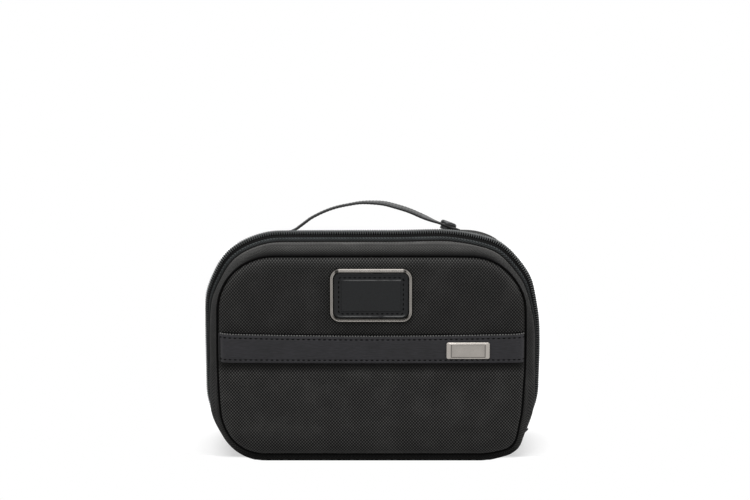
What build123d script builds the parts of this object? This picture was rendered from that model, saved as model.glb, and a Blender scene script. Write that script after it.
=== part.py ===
from build123d import *
import math
import os

# A toiletry bag of two zipped halves that open like a book about a fold along the bottom.
# Millimetres. X runs along the bag, Y from front to back, Z up.
# The origin is on the resting face, under the middle of the zip.

# The body at the zip and at the two piped seams
zip_half_width = 127.1
zip_top = 169.2
zip_flat_depth = 5.0
zip_low_radius = 49.0
zip_top_radius = 54.0
tape_edge_depth = 11.5
tape_drop = 3.4
foot_depth = 40.0
foot_taper = 5.1
seam_depth = 46.0
seam_half_width = 117.5
seam_low = 3.5
seam_top = 161.5
seam_low_radius = 35.0
seam_top_radius = 42.0

# Crown of the two big faces: how far in from the seam, and how far out from the zip plane
rim_inset = 1.45
shoulder_inset = 6.0
flat_inset = 12.0
rim_face = 46.2
shoulder_face = 50.0
flat_face = 51.0

# Layers and clearances
lay = 0.05
body_gap = 0.3
fold_lead = 0.15
gusset_wall = 2.0
panel_wall = 1.6
foam_wall = 2.0
lining_wall = 0.6
tape_wall = 0.8
strip_wall = 1.2
piping_radius = 1.4
binding_wide = 2.2
binding_inset = 2.5
binding_deep = 2.4
inner_inset = 2.8

# The zip
chain_end_angle = 66.0
strip_end_angle = 68.0
coil_part = 0.6
coil_half_width = 3.0
coil_height = 2.9
end_gap_angle = 0.1
stop_overlap = 1.2
slider_angle = 42.5
slider_half_angle = 6.5
slider_half_width = 4.0
slider_plate = 1.2
slider_outer_gap = 1.0
slider_inner_gap = 0.4
slider_neck = 0.6
neck_angle = 2.5
bridge_width = 2.2
bridge_length = 9.0
bridge_height = 4.0
bridge_wall = 1.0
pull_pivot_height = 1.7
pull_pivot_back = 2.0
pull_length = 15.0
pull_width = 6.4
pull_corner = 1.5
pull_thick = 1.4
pull_tuck = 12.5
pull_bar = 1.4
pull_eye = 3.5
pull_eye_width = 3.4

# The front slip pocket, its trim band and the plates
pocket_gap = 0.15
pocket_wall = 1.0
band_low = 79.0
band_high = 100.6
band_wall = 1.2
hem_step = 1.0
frame_width = 63.4
frame_height = 41.6
frame_x = -1.0
frame_drop = 8.0
frame_radius = 8.0
frame_ring = 3.0
frame_thick = 3.0
frame_bevel = 0.8
patch_gap = 0.15
patch_thick = 1.4
prong_width = 3.0
prong_thick = 0.8
prong_gap = 0.15
frame_prong_spread = 22.0
backplate_thick = 0.8
backplate_margin = 2.0
plate_width = 33.2
plate_height = 12.9
plate_x = 73.1
plate_z = 89.5
plate_thick = 1.8
plate_radius = 1.5
plate_border = 1.6
plate_groove = 0.3
plate_prong_spread = 10.0
plate_prong_length = 1.0

# Pockets inside
net_depth = 16.0
net_wall = 0.8
net_top = 105.0
hem_height = 10.0
hem_wall = 1.6
slip_top = 88.0

# The handle, laid on the slope of the back half's top
handle_depth = 18.5
strap_width = 12.0
strap_thick = 2.0
strap_lift = 0.1
root_start = -80.0
root_lift = -71.4
root_slope = 22.0
root_bend = 5.0
hinge_x = -64.65
strap_lead = 4.5
strap_rise = [(-46.0, 16.5), (-27.0, 24.6), (-4.0, 28.4), (22.0, 25.0)]
strap_bends = [12.0, 30.0, 50.0, 60.0, 60.0]
last_bend = 50.0
last_run = 18.0
snap_x = 59.6
snap_height = 8.2
snap_tilt = 20.0
snap_tail = 10.0
cap_radius = 6.5
cap_height = 2.7
cap_rim = 0.8
socket_radius = 5.5
socket_height = 2.3
socket_bore = 3.0
socket_roof = 0.5
post_radius = 1.9
post_neck = 1.5
post_base = 2.6
post_head = 1.0
post_headroom = 0.4
eyelet_radius = 4.5
eyelet_thick = 0.9
snap_gap = 0.35
tab_end = 84.0
tab_nose = 7.0
tab_bend = 15.0

# Outlines, as half width, lowest, highest, lower corner radius and upper corner radius
at_zip = (zip_half_width, 0, zip_top, zip_low_radius, zip_top_radius)
at_tape_edge = (
    zip_half_width - tape_drop,
    0,
    zip_top - tape_drop,
    zip_low_radius - tape_drop / 2,
    zip_top_radius - tape_drop,
)
foot_share = (seam_depth - foot_depth) / (seam_depth - tape_edge_depth)
at_foot = (
    seam_half_width + (at_tape_edge[0] - seam_half_width) * foot_share,
    0,
    seam_top + (at_tape_edge[2] - seam_top) * foot_share,
    seam_low_radius + foot_taper / 2,
    seam_top_radius + foot_taper / 4,
)
at_seam = (seam_half_width, seam_low, seam_top, seam_low_radius, seam_top_radius)
crown = [(rim_inset, rim_face), (shoulder_inset, shoulder_face), (flat_inset, flat_face)]
corner_x = zip_half_width - zip_low_radius
corner_z = zip_low_radius


def inset(size, amount):
    half_width, low, high, low_radius, top_radius = size
    return (
        half_width - amount,
        low + amount,
        high - amount,
        low_radius - amount,
        top_radius - amount,
    )


def between(size_a, size_b, share):
    return tuple(a + (b - a) * share for a, b in zip(size_a, size_b))


def gusset_size(depth):
    if depth > foot_depth:
        return between(at_foot, at_seam, (depth - foot_depth) / (seam_depth - foot_depth))
    share = (depth - tape_edge_depth) / (foot_depth - tape_edge_depth)
    return between(at_tape_edge, at_foot, share)


def crown_face(amount):
    for (inset_a, face_a), (inset_b, face_b) in zip(crown, crown[1:]):
        if amount <= inset_b:
            return face_a + (face_b - face_a) * (amount - inset_a) / (inset_b - inset_a)
    return flat_face


def at_depth(side, depth):
    return Plane.XZ.offset(-side * depth)


def outline_face(side, depth, size):
    half_width, low, high, low_radius, top_radius = size
    with BuildSketch(at_depth(side, depth)) as face:
        with BuildLine():
            FilletPolyline(
                (-half_width, low),
                (half_width, low),
                (half_width, high),
                (-half_width, high),
                radius=[low_radius, low_radius, top_radius, top_radius],
                close=True,
            )
        make_face()
    return face.sketch


def skin_solid(side, stations, mode):
    faces = [outline_face(side, depth, size) for depth, size in stations]
    loft(faces, ruled=True, mode=mode)


def ring_wall(side, stations, wall):
    skin_solid(side, stations, Mode.ADD)
    skin_solid(side, [(depth, inset(size, wall)) for depth, size in stations], Mode.SUBTRACT)


# The part of the body below the two ends of the zip
def below_chain(angle, mode):
    reach = 2 * zip_low_radius
    foot_x = corner_x + reach * math.cos(math.radians(angle))
    foot_z = corner_z - reach * math.sin(math.radians(angle))
    with BuildSketch(Plane.XZ) as zone:
        with BuildLine():
            Polyline(
                (-corner_x, corner_z),
                (corner_x, corner_z),
                (foot_x, foot_z),
                (-foot_x, foot_z),
                close=True,
            )
        make_face()
    extrude(zone.sketch, amount=2 * tape_edge_depth, both=True, mode=mode)


def gusset_stations(start, end, amount):
    depths = [start, foot_depth, end]
    return [(depth, inset(gusset_size(depth), amount)) for depth in depths]


def tape_stations(start, end, amount):
    edge = (end - zip_flat_depth) / (tape_edge_depth - zip_flat_depth)
    return [
        (start, inset(at_zip, amount)),
        (zip_flat_depth, inset(at_zip, amount)),
        (end, inset(between(at_zip, at_tape_edge, edge), amount)),
    ]


# A crowned sheet that starts an inset from the seam and lies a shift inside the outer face
def crowned_sheet(side, start, shift, wall):
    rows = [(start, crown_face(start))]
    rows += [(amount, face) for amount, face in crown if amount > start + lay]
    for drop, mode in ((0, Mode.ADD), (wall, Mode.SUBTRACT)):
        first = [(rows[0][1] - shift - drop - wall, inset(at_seam, start))]
        rest = [(face - shift - drop, inset(at_seam, amount)) for amount, face in rows]
        skin_solid(side, first + rest, mode)


def finish(part, label):
    part.label = label
    export_step(part, "parts/" + label + ".step")


os.makedirs("parts", exist_ok=True)

gusset_end = seam_depth - piping_radius - lay
foam_shift = panel_wall + lay
lining_shift = foam_shift + foam_wall + lay
binding_far = crown_face(inner_inset) - lining_shift - lining_wall - lay

# A band between two radii round the zip's lower corner, from one angle below level to another
def corner_sector(plane, low_radius, high_radius, upper_angle, lower_angle):
    turn = lower_angle - upper_angle
    with BuildSketch(plane) as sector:
        with BuildLine():
            inner = CenterArc((corner_x, corner_z), low_radius, -lower_angle, turn)
            outer = CenterArc((corner_x, corner_z), high_radius, -lower_angle, turn)
            Line(inner @ 0, outer @ 0)
            Line(inner @ 1, outer @ 1)
        make_face()
    return sector.sketch


def slots(plane, spots, size_x, size_y, amount, mode):
    with BuildSketch(plane) as openings:
        with Locations(*spots):
            Rectangle(size_x, size_y)
    extrude(openings.sketch, amount=amount, mode=mode)


# Keeps what lies between two heights
def keep_heights(low, high):
    with BuildSketch(Plane.XY.offset(low)) as level:
        Rectangle(4 * seam_half_width, 4 * seam_depth)
    extrude(level.sketch, amount=high - low, mode=Mode.INTERSECT)


# Both halves have the same walls, lining, zip tape and coil
for name, side in (("back", 1), ("front", -1)):
    with BuildPart() as gusset:
        ring_wall(side, gusset_stations(tape_edge_depth, gusset_end, 0), gusset_wall)
    finish(gusset.part, name + "_gusset")

    with BuildPart() as lining_gusset:
        stations = gusset_stations(tape_edge_depth, binding_far, gusset_wall + lay)
        ring_wall(side, stations, lining_wall)
    finish(lining_gusset.part, name + "_lining_gusset")

    with BuildPart() as binding:
        outer = outline_face(side, binding_far, inset(at_seam, binding_inset))
        inner = outline_face(side, binding_far, inset(at_seam, binding_inset + binding_wide))
        extrude(outer, amount=side * binding_deep)
        extrude(inner, amount=side * binding_deep, mode=Mode.SUBTRACT)
    finish(binding.part, name + "_seam_binding")

    with BuildPart() as tape:
        ring_wall(side, tape_stations(coil_part, tape_edge_depth - lay, 0), tape_wall)
        below_chain(strip_end_angle - end_gap_angle, Mode.SUBTRACT)
    finish(tape.part, name + "_zip_tape")

    with BuildPart() as coil:
        outer = outline_face(side, coil_part, inset(at_zip, -coil_height))
        inner = outline_face(side, coil_part, inset(at_zip, -lay))
        extrude(outer, amount=-side * (coil_half_width - coil_part))
        extrude(inner, amount=-side * (coil_half_width - coil_part), mode=Mode.SUBTRACT)
        below_chain(chain_end_angle, Mode.SUBTRACT)
    finish(coil.part, name + "_zip_coil")

    with BuildPart() as stops:
        stop_face = corner_sector(
            at_depth(side, coil_part),
            zip_low_radius + lay,
            zip_low_radius + coil_height,
            chain_end_angle + end_gap_angle,
            strip_end_angle - 2 * end_gap_angle,
        )
        extrude(stop_face, amount=-side * (coil_half_width - coil_part + stop_overlap))
        mirror(about=Plane.YZ)
    finish(stops.part, name + "_zip_stops")

    with BuildPart() as strip:
        strip_start = (body_gap - side * (body_gap + 2 * fold_lead)) / 2
        ring_wall(side, tape_stations(strip_start, tape_edge_depth - lay, 0), strip_wall)
        below_chain(strip_end_angle, Mode.INTERSECT)
    finish(strip.part, name + "_bottom_strip")

    seam_line = outline_face(side, seam_depth, at_seam).faces()[0].outer_wire()
    piping_start = Plane(origin=seam_line @ 0, z_dir=seam_line % 0)
    with BuildPart() as piping:
        with BuildSketch(piping_start):
            Circle(piping_radius)
        sweep(path=seam_line)
    finish(piping.part, name + "_piping")

    with BuildPart() as lining_panel:
        crowned_sheet(side, inner_inset, lining_shift, lining_wall)
    finish(lining_panel.part, name + "_lining_panel")

# The back face and its foam are whole sheets
with BuildPart() as back_panel:
    crowned_sheet(1, rim_inset, 0, panel_wall)
finish(back_panel.part, "back_panel")

with BuildPart() as back_foam:
    crowned_sheet(1, inner_inset, foam_shift, foam_wall)
finish(back_foam.part, "back_foam")

# The metal frame's prongs pass through the front face and clinch on a plate let into the foam
frame_plane = at_depth(-1, flat_face + lay)
frame_z = seam_top - frame_drop - frame_height / 2
prong_rise = (frame_height - frame_ring) / 2
frame_prongs = [
    (frame_x + part_x * frame_prong_spread, frame_z + part_z * prong_rise)
    for part_x in (-1, 1)
    for part_z in (-1, 1)
]
backplate_width = frame_width - 2 * backplate_margin
backplate_top = frame_z + frame_height / 2 - backplate_margin / 4
backplate_height = 2 * (backplate_top - frame_z)
backplate_face = crown_face(seam_top - backplate_top) - panel_wall - lay
prong_length = flat_face + lay - backplate_face + backplate_thick
slot_width = prong_width + 2 * prong_gap
slot_height = prong_thick + 2 * prong_gap

with BuildPart() as front_panel:
    crowned_sheet(-1, rim_inset, 0, panel_wall)
    slots(frame_plane, frame_prongs, slot_width, slot_height, -prong_length, Mode.SUBTRACT)
finish(front_panel.part, "front_panel")

with BuildPart() as front_foam:
    crowned_sheet(-1, inner_inset, foam_shift, foam_wall)
    recess_width = backplate_width + 2 * prong_gap
    recess_height = backplate_height + 2 * prong_gap
    recess_plane = at_depth(-1, backplate_face - backplate_thick - lay)
    slots(recess_plane, [(frame_x, frame_z)], recess_width, recess_height, foam_wall * 2, Mode.SUBTRACT)
finish(front_foam.part, "front_foam")

with BuildPart() as backplate:
    with BuildSketch(at_depth(-1, backplate_face)):
        with Locations((frame_x, frame_z)):
            RectangleRounded(backplate_width, backplate_height, frame_radius - backplate_margin)
        with Locations(*frame_prongs):
            Rectangle(slot_width, slot_height, mode=Mode.SUBTRACT)
    extrude(amount=-backplate_thick)
finish(backplate.part, "frame_backplate")

with BuildPart() as frame:
    with BuildSketch(frame_plane):
        with Locations((frame_x, frame_z)):
            RectangleRounded(frame_width, frame_height, frame_radius)
            RectangleRounded(
                frame_width - 2 * frame_ring,
                frame_height - 2 * frame_ring,
                frame_radius - frame_ring,
                mode=Mode.SUBTRACT,
            )
    extrude(amount=frame_thick)
    chamfer(faces().sort_by(Axis.Y)[0].edges(), frame_bevel)
    slots(frame_plane, frame_prongs, prong_width, prong_thick, -prong_length, Mode.ADD)
finish(frame.part, "id_frame")

with BuildPart() as patch:
    patch_inset = frame_ring + patch_gap
    with BuildSketch(frame_plane):
        with Locations((frame_x, frame_z)):
            RectangleRounded(
                frame_width - 2 * patch_inset,
                frame_height - 2 * patch_inset,
                frame_radius - patch_inset,
            )
    extrude(amount=patch_thick)
finish(patch.part, "id_patch")

# The slip pocket's face lies on the front face, and the band is sewn along its top edge
pocket_face = pocket_gap + pocket_wall
band_face = pocket_face + lay + band_wall
plate_plane = at_depth(-1, flat_face + band_face + lay)
plate_prongs = [(plate_x + part_x * plate_prong_spread, plate_z) for part_x in (-1, 1)]

with BuildPart() as pocket_panel:
    crowned_sheet(-1, rim_inset, -pocket_face, pocket_wall)
    keep_heights(0, band_high - hem_step)
finish(pocket_panel.part, "front_pocket_panel")

with BuildPart() as band:
    crowned_sheet(-1, rim_inset, -band_face, band_wall)
    keep_heights(band_low, band_high)
    slots(plate_plane, plate_prongs, slot_width, slot_height, -plate_prong_length - lay, Mode.SUBTRACT)
finish(band.part, "front_band")

with BuildPart() as name_plate:
    with BuildSketch(plate_plane):
        with Locations((plate_x, plate_z)):
            RectangleRounded(plate_width, plate_height, plate_radius)
    extrude(amount=plate_thick)
    with BuildSketch(plate_plane.offset(plate_thick)):
        with Locations((plate_x, plate_z)):
            Rectangle(plate_width - 2 * plate_border, plate_height - 2 * plate_border)
    extrude(amount=-plate_groove, mode=Mode.SUBTRACT)
    slots(plate_plane, plate_prongs, prong_width, prong_thick, -plate_prong_length, Mode.ADD)
finish(name_plate.part, "name_plate")


# A flat sheet across the inside of one half, between two heights
def inner_sheet(side, depth, size, wall, low, high):
    extrude(outline_face(side, depth, size), amount=-side * wall)
    keep_heights(low, high)


net_size = inset(gusset_size(net_depth + hem_wall), gusset_wall + lining_wall + 3 * lay)
with BuildPart() as net:
    inner_sheet(-1, net_depth, net_size, net_wall, 0, net_top - hem_height - lay)
finish(net.part, "net_pocket")

with BuildPart() as net_hem:
    inner_sheet(-1, net_depth, net_size, hem_wall, net_top - hem_height, net_top)
finish(net_hem.part, "net_pocket_hem")

slip_size = inset(at_seam, binding_inset + binding_wide + lay)
slip_depth = binding_far - hem_wall
with BuildPart() as slip:
    inner_sheet(1, slip_depth, slip_size, net_wall, 0, slip_top - hem_height - lay)
finish(slip.part, "slip_pocket")

with BuildPart() as slip_hem:
    inner_sheet(1, slip_depth, slip_size, hem_wall, slip_top - hem_height, slip_top)
finish(slip_hem.part, "slip_pocket_hem")

# The handle stands on the slope of the back half's top
slope = math.atan2(at_tape_edge[2] - at_foot[2], foot_depth - tape_edge_depth)
slope_up = Vector(0, math.sin(slope), math.cos(slope))
handle_plane = Plane(
    origin=(0, handle_depth, gusset_size(handle_depth)[2]),
    x_dir=(1, 0, 0),
    z_dir=(0, -math.cos(slope), math.sin(slope)),
)
tilt = math.radians(snap_tilt)
snap_origin = handle_plane.origin + Vector(1, 0, 0) * snap_x + slope_up * snap_height
snap_plane = Plane(
    origin=snap_origin,
    x_dir=Vector(1, 0, 0) * math.cos(tilt) - slope_up * math.sin(tilt),
    z_dir=Vector(1, 0, 0) * math.sin(tilt) + slope_up * math.cos(tilt),
)
snap_axis = Axis(snap_plane.origin, snap_plane.z_dir)
half_strap = strap_thick / 2
rest_height = strap_lift + half_strap


def strap_band(points, bends):
    with BuildSketch(handle_plane) as edge_on:
        with BuildLine():
            FilletPolyline(*points, radius=bends)
        trace(line_width=strap_thick)
    extrude(edge_on.sketch, amount=strap_width / 2, both=True)


def snap_disc(offset, radius, amount, mode=Mode.ADD):
    with BuildSketch(snap_plane.offset(offset)) as disc:
        Circle(radius)
    extrude(disc.sketch, amount=amount, mode=mode)


# The sewn root lifts off the slope, and the strap goes on in its line past the fold that it swings on
root_turn = math.radians(root_slope)
hinge_height = rest_height + (hinge_x - root_lift) * math.tan(root_turn)


def along_root(run):
    return (hinge_x + run * math.cos(root_turn), hinge_height + run * math.sin(root_turn))


root_points = [(root_start, rest_height), (root_lift, rest_height), along_root(-body_gap / 2)]
with BuildPart() as root_tab:
    strap_band(root_points, [root_bend])
finish(root_tab.part, "handle_root")

run_start = (snap_x - last_run * math.cos(tilt), snap_height + last_run * math.sin(tilt))
strap_tip = (snap_x + snap_tail * math.cos(tilt), snap_height - snap_tail * math.sin(tilt))
strap_start = [along_root(body_gap / 2), along_root(strap_lead)]
strap_points = strap_start + strap_rise + [run_start, strap_tip]
with BuildPart() as strap:
    strap_band(strap_points, strap_bends + [last_bend])
    snap_disc(-strap_thick, post_neck + prong_gap, 2 * strap_thick, Mode.SUBTRACT)
finish(strap.part, "handle_strap")

with BuildPart() as cap:
    snap_disc(half_strap + lay, cap_radius, cap_height)
    fillet(edges().sort_by(snap_axis)[-1], cap_height - cap_rim)
    snap_disc(half_strap + lay, post_neck, -strap_thick - lay)
finish(cap.part, "snap_cap")

socket_face = -half_strap - lay - socket_height
with BuildPart() as socket:
    snap_disc(-half_strap - lay, socket_radius, -socket_height)
    snap_disc(socket_face, socket_bore, socket_height - socket_roof, Mode.SUBTRACT)
finish(socket.part, "snap_socket")

# The tab rises from the bag to meet the strap under the snap
tab_face = socket_face - snap_gap
tab_drop = half_strap - tab_face
tab_x = snap_x - tab_drop * math.sin(tilt)
tab_height = snap_height - tab_drop * math.cos(tilt)
tab_run = (tab_height - rest_height) / math.sin(tilt)
tab_points = [
    (tab_x - tab_nose * math.cos(tilt), tab_height + tab_nose * math.sin(tilt)),
    (tab_x + tab_run * math.cos(tilt), rest_height),
    (tab_end, rest_height),
]
with BuildPart() as tab:
    strap_band(tab_points, [tab_bend])
    snap_disc(tab_face - 2 * strap_thick, post_neck + prong_gap, 3 * strap_thick, Mode.SUBTRACT)
finish(tab.part, "snap_tab")

post_height = snap_gap + socket_height - socket_roof - post_headroom
with BuildPart() as stud:
    snap_disc(tab_face + lay, post_base, snap_gap - lay)
    snap_disc(tab_face + post_height, post_radius, -post_head)
    snap_disc(tab_face + post_height, post_neck, -post_height - strap_thick)
finish(stud.part, "snap_stud")

with BuildPart() as eyelet:
    snap_disc(tab_face - strap_thick - lay, eyelet_radius, -eyelet_thick)
finish(eyelet.part, "snap_eyelet")

# The slider rides the chain round the lower right corner, and the pull hangs in its bridge
outer_low = zip_low_radius + coil_height + slider_outer_gap
outer_high = outer_low + slider_plate
inner_high = zip_low_radius - tape_wall - slider_inner_gap
slider_upper = slider_angle - slider_half_angle
slider_lower = slider_angle + slider_half_angle
lean = math.radians(slider_angle)
outward = Vector(math.cos(lean), 0, -math.sin(lean))
along = Vector(math.sin(lean), 0, math.cos(lean))
corner = Vector(corner_x, 0, corner_z)
bridge_plane = Plane(origin=corner + outward * outer_high, x_dir=along, z_dir=(0, 1, 0))
with BuildPart() as slider:
    for low_radius in (outer_low, inner_high - slider_plate):
        high_radius = low_radius + slider_plate
        plate_side = corner_sector(Plane.XZ, low_radius, high_radius, slider_upper, slider_lower)
        extrude(plate_side, amount=slider_half_width, both=True)
    neck_low = inner_high - slider_plate / 2
    neck_high = outer_low + slider_plate / 2
    neck_lower = slider_upper + neck_angle
    neck_side = corner_sector(Plane.XZ, neck_low, neck_high, slider_upper, neck_lower)
    extrude(neck_side, amount=slider_neck / 2, both=True)
    with BuildSketch(bridge_plane):
        with Locations((0, (bridge_height - bridge_wall / 2) / 2)):
            Rectangle(bridge_length, bridge_height + bridge_wall / 2)
        with Locations((0, (bridge_height - bridge_wall) / 2)):
            Rectangle(
                bridge_length - 2 * bridge_wall,
                bridge_height - bridge_wall,
                mode=Mode.SUBTRACT,
            )
    extrude(amount=bridge_width / 2, both=True)
finish(slider.part, "zip_slider")

pull_pivot = bridge_plane.origin + outward * pull_pivot_height - along * pull_pivot_back
tuck = math.radians(pull_tuck)
pull_way = -along * math.cos(tuck) - outward * math.sin(tuck)
pull_up = -along * math.sin(tuck) + outward * math.cos(tuck)
pull_plane = Plane(origin=pull_pivot, x_dir=pull_way, z_dir=pull_up)
with BuildPart() as pull:
    with BuildSketch(pull_plane):
        with Locations(((pull_length - pull_bar / 2) / 2, 0)):
            RectangleRounded(pull_length + pull_bar / 2, pull_width, pull_corner)
        with Locations((pull_bar / 2 + pull_eye / 2, 0)):
            Rectangle(pull_eye, pull_eye_width, mode=Mode.SUBTRACT)
    extrude(amount=pull_thick / 2, both=True)
finish(pull.part, "zip_pull")
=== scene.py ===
import math

import bmesh
import bpy
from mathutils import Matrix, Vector, noise


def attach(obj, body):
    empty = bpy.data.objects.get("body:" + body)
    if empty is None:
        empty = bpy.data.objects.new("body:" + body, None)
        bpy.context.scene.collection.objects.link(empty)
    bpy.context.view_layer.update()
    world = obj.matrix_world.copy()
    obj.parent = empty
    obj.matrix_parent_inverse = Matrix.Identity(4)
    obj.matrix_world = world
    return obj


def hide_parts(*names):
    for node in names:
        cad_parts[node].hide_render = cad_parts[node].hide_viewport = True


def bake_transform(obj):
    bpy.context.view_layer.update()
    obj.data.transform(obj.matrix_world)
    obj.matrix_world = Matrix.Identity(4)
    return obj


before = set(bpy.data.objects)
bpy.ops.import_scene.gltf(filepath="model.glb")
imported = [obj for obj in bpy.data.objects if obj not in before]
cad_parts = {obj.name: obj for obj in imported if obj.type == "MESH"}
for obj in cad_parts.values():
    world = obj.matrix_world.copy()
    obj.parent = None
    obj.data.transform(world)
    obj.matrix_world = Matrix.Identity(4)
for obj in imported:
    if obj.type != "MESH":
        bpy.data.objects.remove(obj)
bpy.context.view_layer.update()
print("frame loaded with", len(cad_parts), "solids")

# Lengths are in millimetres, and turned into metres where Blender takes them. Only the camera's
# clipping, the lamps and the reach of the floor's glow are written in metres.
# A depth is the distance from the zip's middle plane, to the front or to the back.
# A lift is the distance out of the bag's own outline at that depth.


def metres(points):
    return [[c / 1000 for c in p] for p in points]


def newObject(name, data):
    thing = bpy.data.objects.new(name, data)
    bpy.context.scene.collection.objects.link(thing)
    return thing


def turnTowards(thing, direction):
    thing.rotation_mode = "QUATERNION"
    thing.rotation_quaternion = direction.to_track_quat("-Z", "Y")


cameraView = {"aim": (2.2, 0, 157.5), "rise": 10.5, "distance": 1600, "lens": 98.3, "clip": (0.05, 50)}


def makeCamera(v):
    data = bpy.data.cameras.new("camera")
    data.lens = v["lens"]
    data.clip_start, data.clip_end = v["clip"]
    camera = newObject("camera", data)
    rise = math.radians(v["rise"])
    back = Vector((0, -math.cos(rise), math.sin(rise)))
    camera.location = (Vector(v["aim"]) + back * v["distance"]) / 1000
    turnTowards(camera, -back)
    bpy.context.scene.camera = camera


makeCamera(cameraView)
bpy.context.scene.view_settings.view_transform = "Standard"

# The bag's outline at four depths, from the zip to the seam: half width, lowest, highest, and the
# lower and upper corner radius
bag = {
    "outlines": (
        (5, (127.4, 0, 169.2, 49, 54)),
        (11.5, (123.7, 0, 165.8, 47.3, 50.6)),
        (40, (118.58, 0, 162.25, 37.55, 43.28)),
        (46, (117.5, 5.8, 161.5, 35, 42)),
    ),
    "chainEnd": 66,
    "tapeEnd": 67.7,
    "stripEnd": 68,
}
seamDepth, seamOutline = bag["outlines"][-1]
stepCounts = (44, 20, 22, 24, 48, 24, 22, 20)


def sizeAt(depth):
    for (start, sizeA), (end, sizeB) in zip(bag["outlines"], bag["outlines"][1:]):
        if depth <= end:
            share = max(0, (depth - start) / (end - start))
            return tuple(p + (q - p) * share for p, q in zip(sizeA, sizeB))
    return seamOutline


# A place on an outline: its x and z, and the way out of the bag there
def ringPoint(size, feature, part):
    halfWidth, low, high, lowRadius, topRadius = size
    lowX, lowZ = halfWidth - lowRadius, low + lowRadius
    topX, topZ = halfWidth - topRadius, high - topRadius
    if feature == 0:
        return -lowX + 2 * lowX * part, low, 0, -1
    if feature == 2:
        return halfWidth, lowZ + (topZ - lowZ) * part, 1, 0
    if feature == 4:
        return topX - 2 * topX * part, high, 0, 1
    if feature == 6:
        return -halfWidth, topZ + (lowZ - topZ) * part, -1, 0
    start, middleX, middleZ, radius = {
        1: (-90, lowX, lowZ, lowRadius),
        3: (0, topX, topZ, topRadius),
        5: (90, -topX, topZ, topRadius),
        7: (180, -lowX, lowZ, lowRadius),
    }[feature]
    turn = math.radians(start + 90 * part)
    outX, outZ = math.cos(turn), math.sin(turn)
    return middleX + outX * radius, middleZ + outZ * radius, outX, outZ


def wholeRing():
    return [(f, i / count) for f, count in enumerate(stepCounts) for i in range(count)]


# The way round the bag over its top, from one angle below level to the same on the other side
def overTop(angle, shift=0):
    start, end = 1 - (angle - shift) / 90, (angle + shift) / 90
    count = stepCounts[1]
    places = [(1, start + (1 - start) * i / count) for i in range(count)]
    places += [(f, i / stepCounts[f]) for f in range(2, 7) for i in range(stepCounts[f])]
    return places + [(7, end * i / count) for i in range(count + 1)]


# The way under the bag between the two ends of the zip
def underneath(angle, count=6):
    part = 1 - angle / 90
    places = [(7, 1 - part + part * i / count) for i in range(count)]
    places += [(0, i / stepCounts[0]) for i in range(stepCounts[0])]
    return places + [(1, part * i / count) for i in range(count + 1)]


def smoothStep(low, high, value):
    t = min(1, max(0, (value - low) / (high - low)))
    return t * t * (3 - 2 * t)


def hill(value, middle, reach):
    return math.exp(-(((value - middle) / reach) ** 2))


def swell(value, start, reach):
    return math.sin(math.pi * min(1, max(0, (value - start) / reach)))


def ripple(x, z, y, size, amount):
    return amount * noise.noise(Vector((x, y, z)) / size)


# The cloth's own looseness: the zip rises a little to the right, the corners are pulled about, and
# the walls puff out. A pull is a place, a move, its reach, and its share at the zip and at the seam.
looseness = {
    "rise": 1.0, "riseX": (12, 62), "riseZ": (140, 166), "fade": {-1: (12, 40), 1: (7, 14)},
    "pullDepths": (12, 44),
    "pulls": (
        (113, 150, -2.9, -2.3, 25, 1, 0.4),
        (84, 168, 0, -3.0, 18, 1, 0.1),
        (127, 122, -2.2, 0, 14, 1, 0),
        (128, 80, 0.7, 0, 24, 1, 0),
        (-128, 96, -0.3, 0, 36, 1, 0),
        (0, 169, 0, 0.2, 70, 1, 0),
        (-118, 88, -1.0, 0, 40, 0, 1),
        (-118, 136, 1.6, 0, 14, 1, 0),
        (-92, 164, 0, -0.8, 16, 1, 0.3),
        (110, 12, 2.6, -3.2, 13, 0, 1),
        (117, 31, -2.4, 0.2, 15, 0, 1),
        (118, 54, -1.0, 0, 16, 0, 1),
        (-117, 30, 1.2, 0, 18, 0, 1),
    ),
    "puff": 3.0, "puffX": (96, 120), "puffLow": (8, 40), "puffHigh": (150, 88),
    "puffDepths": (1, 11.5, 30, 45),
}


def settle(x, depth, z, side):
    v = looseness
    lift = v["rise"] * smoothStep(*v["riseX"], x) * smoothStep(*v["riseZ"], z)
    movedX, movedZ = x, z + lift * (1 - smoothStep(*v["fade"][side], depth))
    share = smoothStep(*v["pullDepths"], depth)
    for pullX, pullZ, moveX, moveZ, reach, atZip, atSeam in v["pulls"]:
        near = math.exp(-((x - pullX) ** 2 + (z - pullZ) ** 2) / reach**2)
        near *= atZip + (atSeam - atZip) * share
        movedX, movedZ = movedX + moveX * near, movedZ + moveZ * near
    start, full, fade, end = v["puffDepths"]
    puff = v["puff"] * smoothStep(*v["puffX"], abs(x)) * smoothStep(start, full, depth)
    puff *= smoothStep(*v["puffLow"], z) * smoothStep(*v["puffHigh"], z) * smoothStep(end, fade, depth)
    return movedX + math.copysign(puff, x), movedZ


# A settled point on the outline at a depth and lift, with the way out of the bag there
def ringPlace(side, feature, part, depth, lift, sizeFor=sizeAt):
    away = abs(depth)
    x, z, outX, outZ = ringPoint(sizeFor(away), feature, part)
    x, z = settle(x + outX * lift, away, z + outZ * lift, side)
    return (x, side * depth, z), (outX, 0, outZ)


def ringLine(side, places, depth, lift):
    return [ringPlace(side, feature, part, depth, lift) for feature, part in places]


# How far each point lies along a line of them
def distances(points):
    along = [0]
    for a, b in zip(points, points[1:]):
        along.append(along[-1] + (Vector(b) - Vector(a)).length)
    return along


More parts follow.
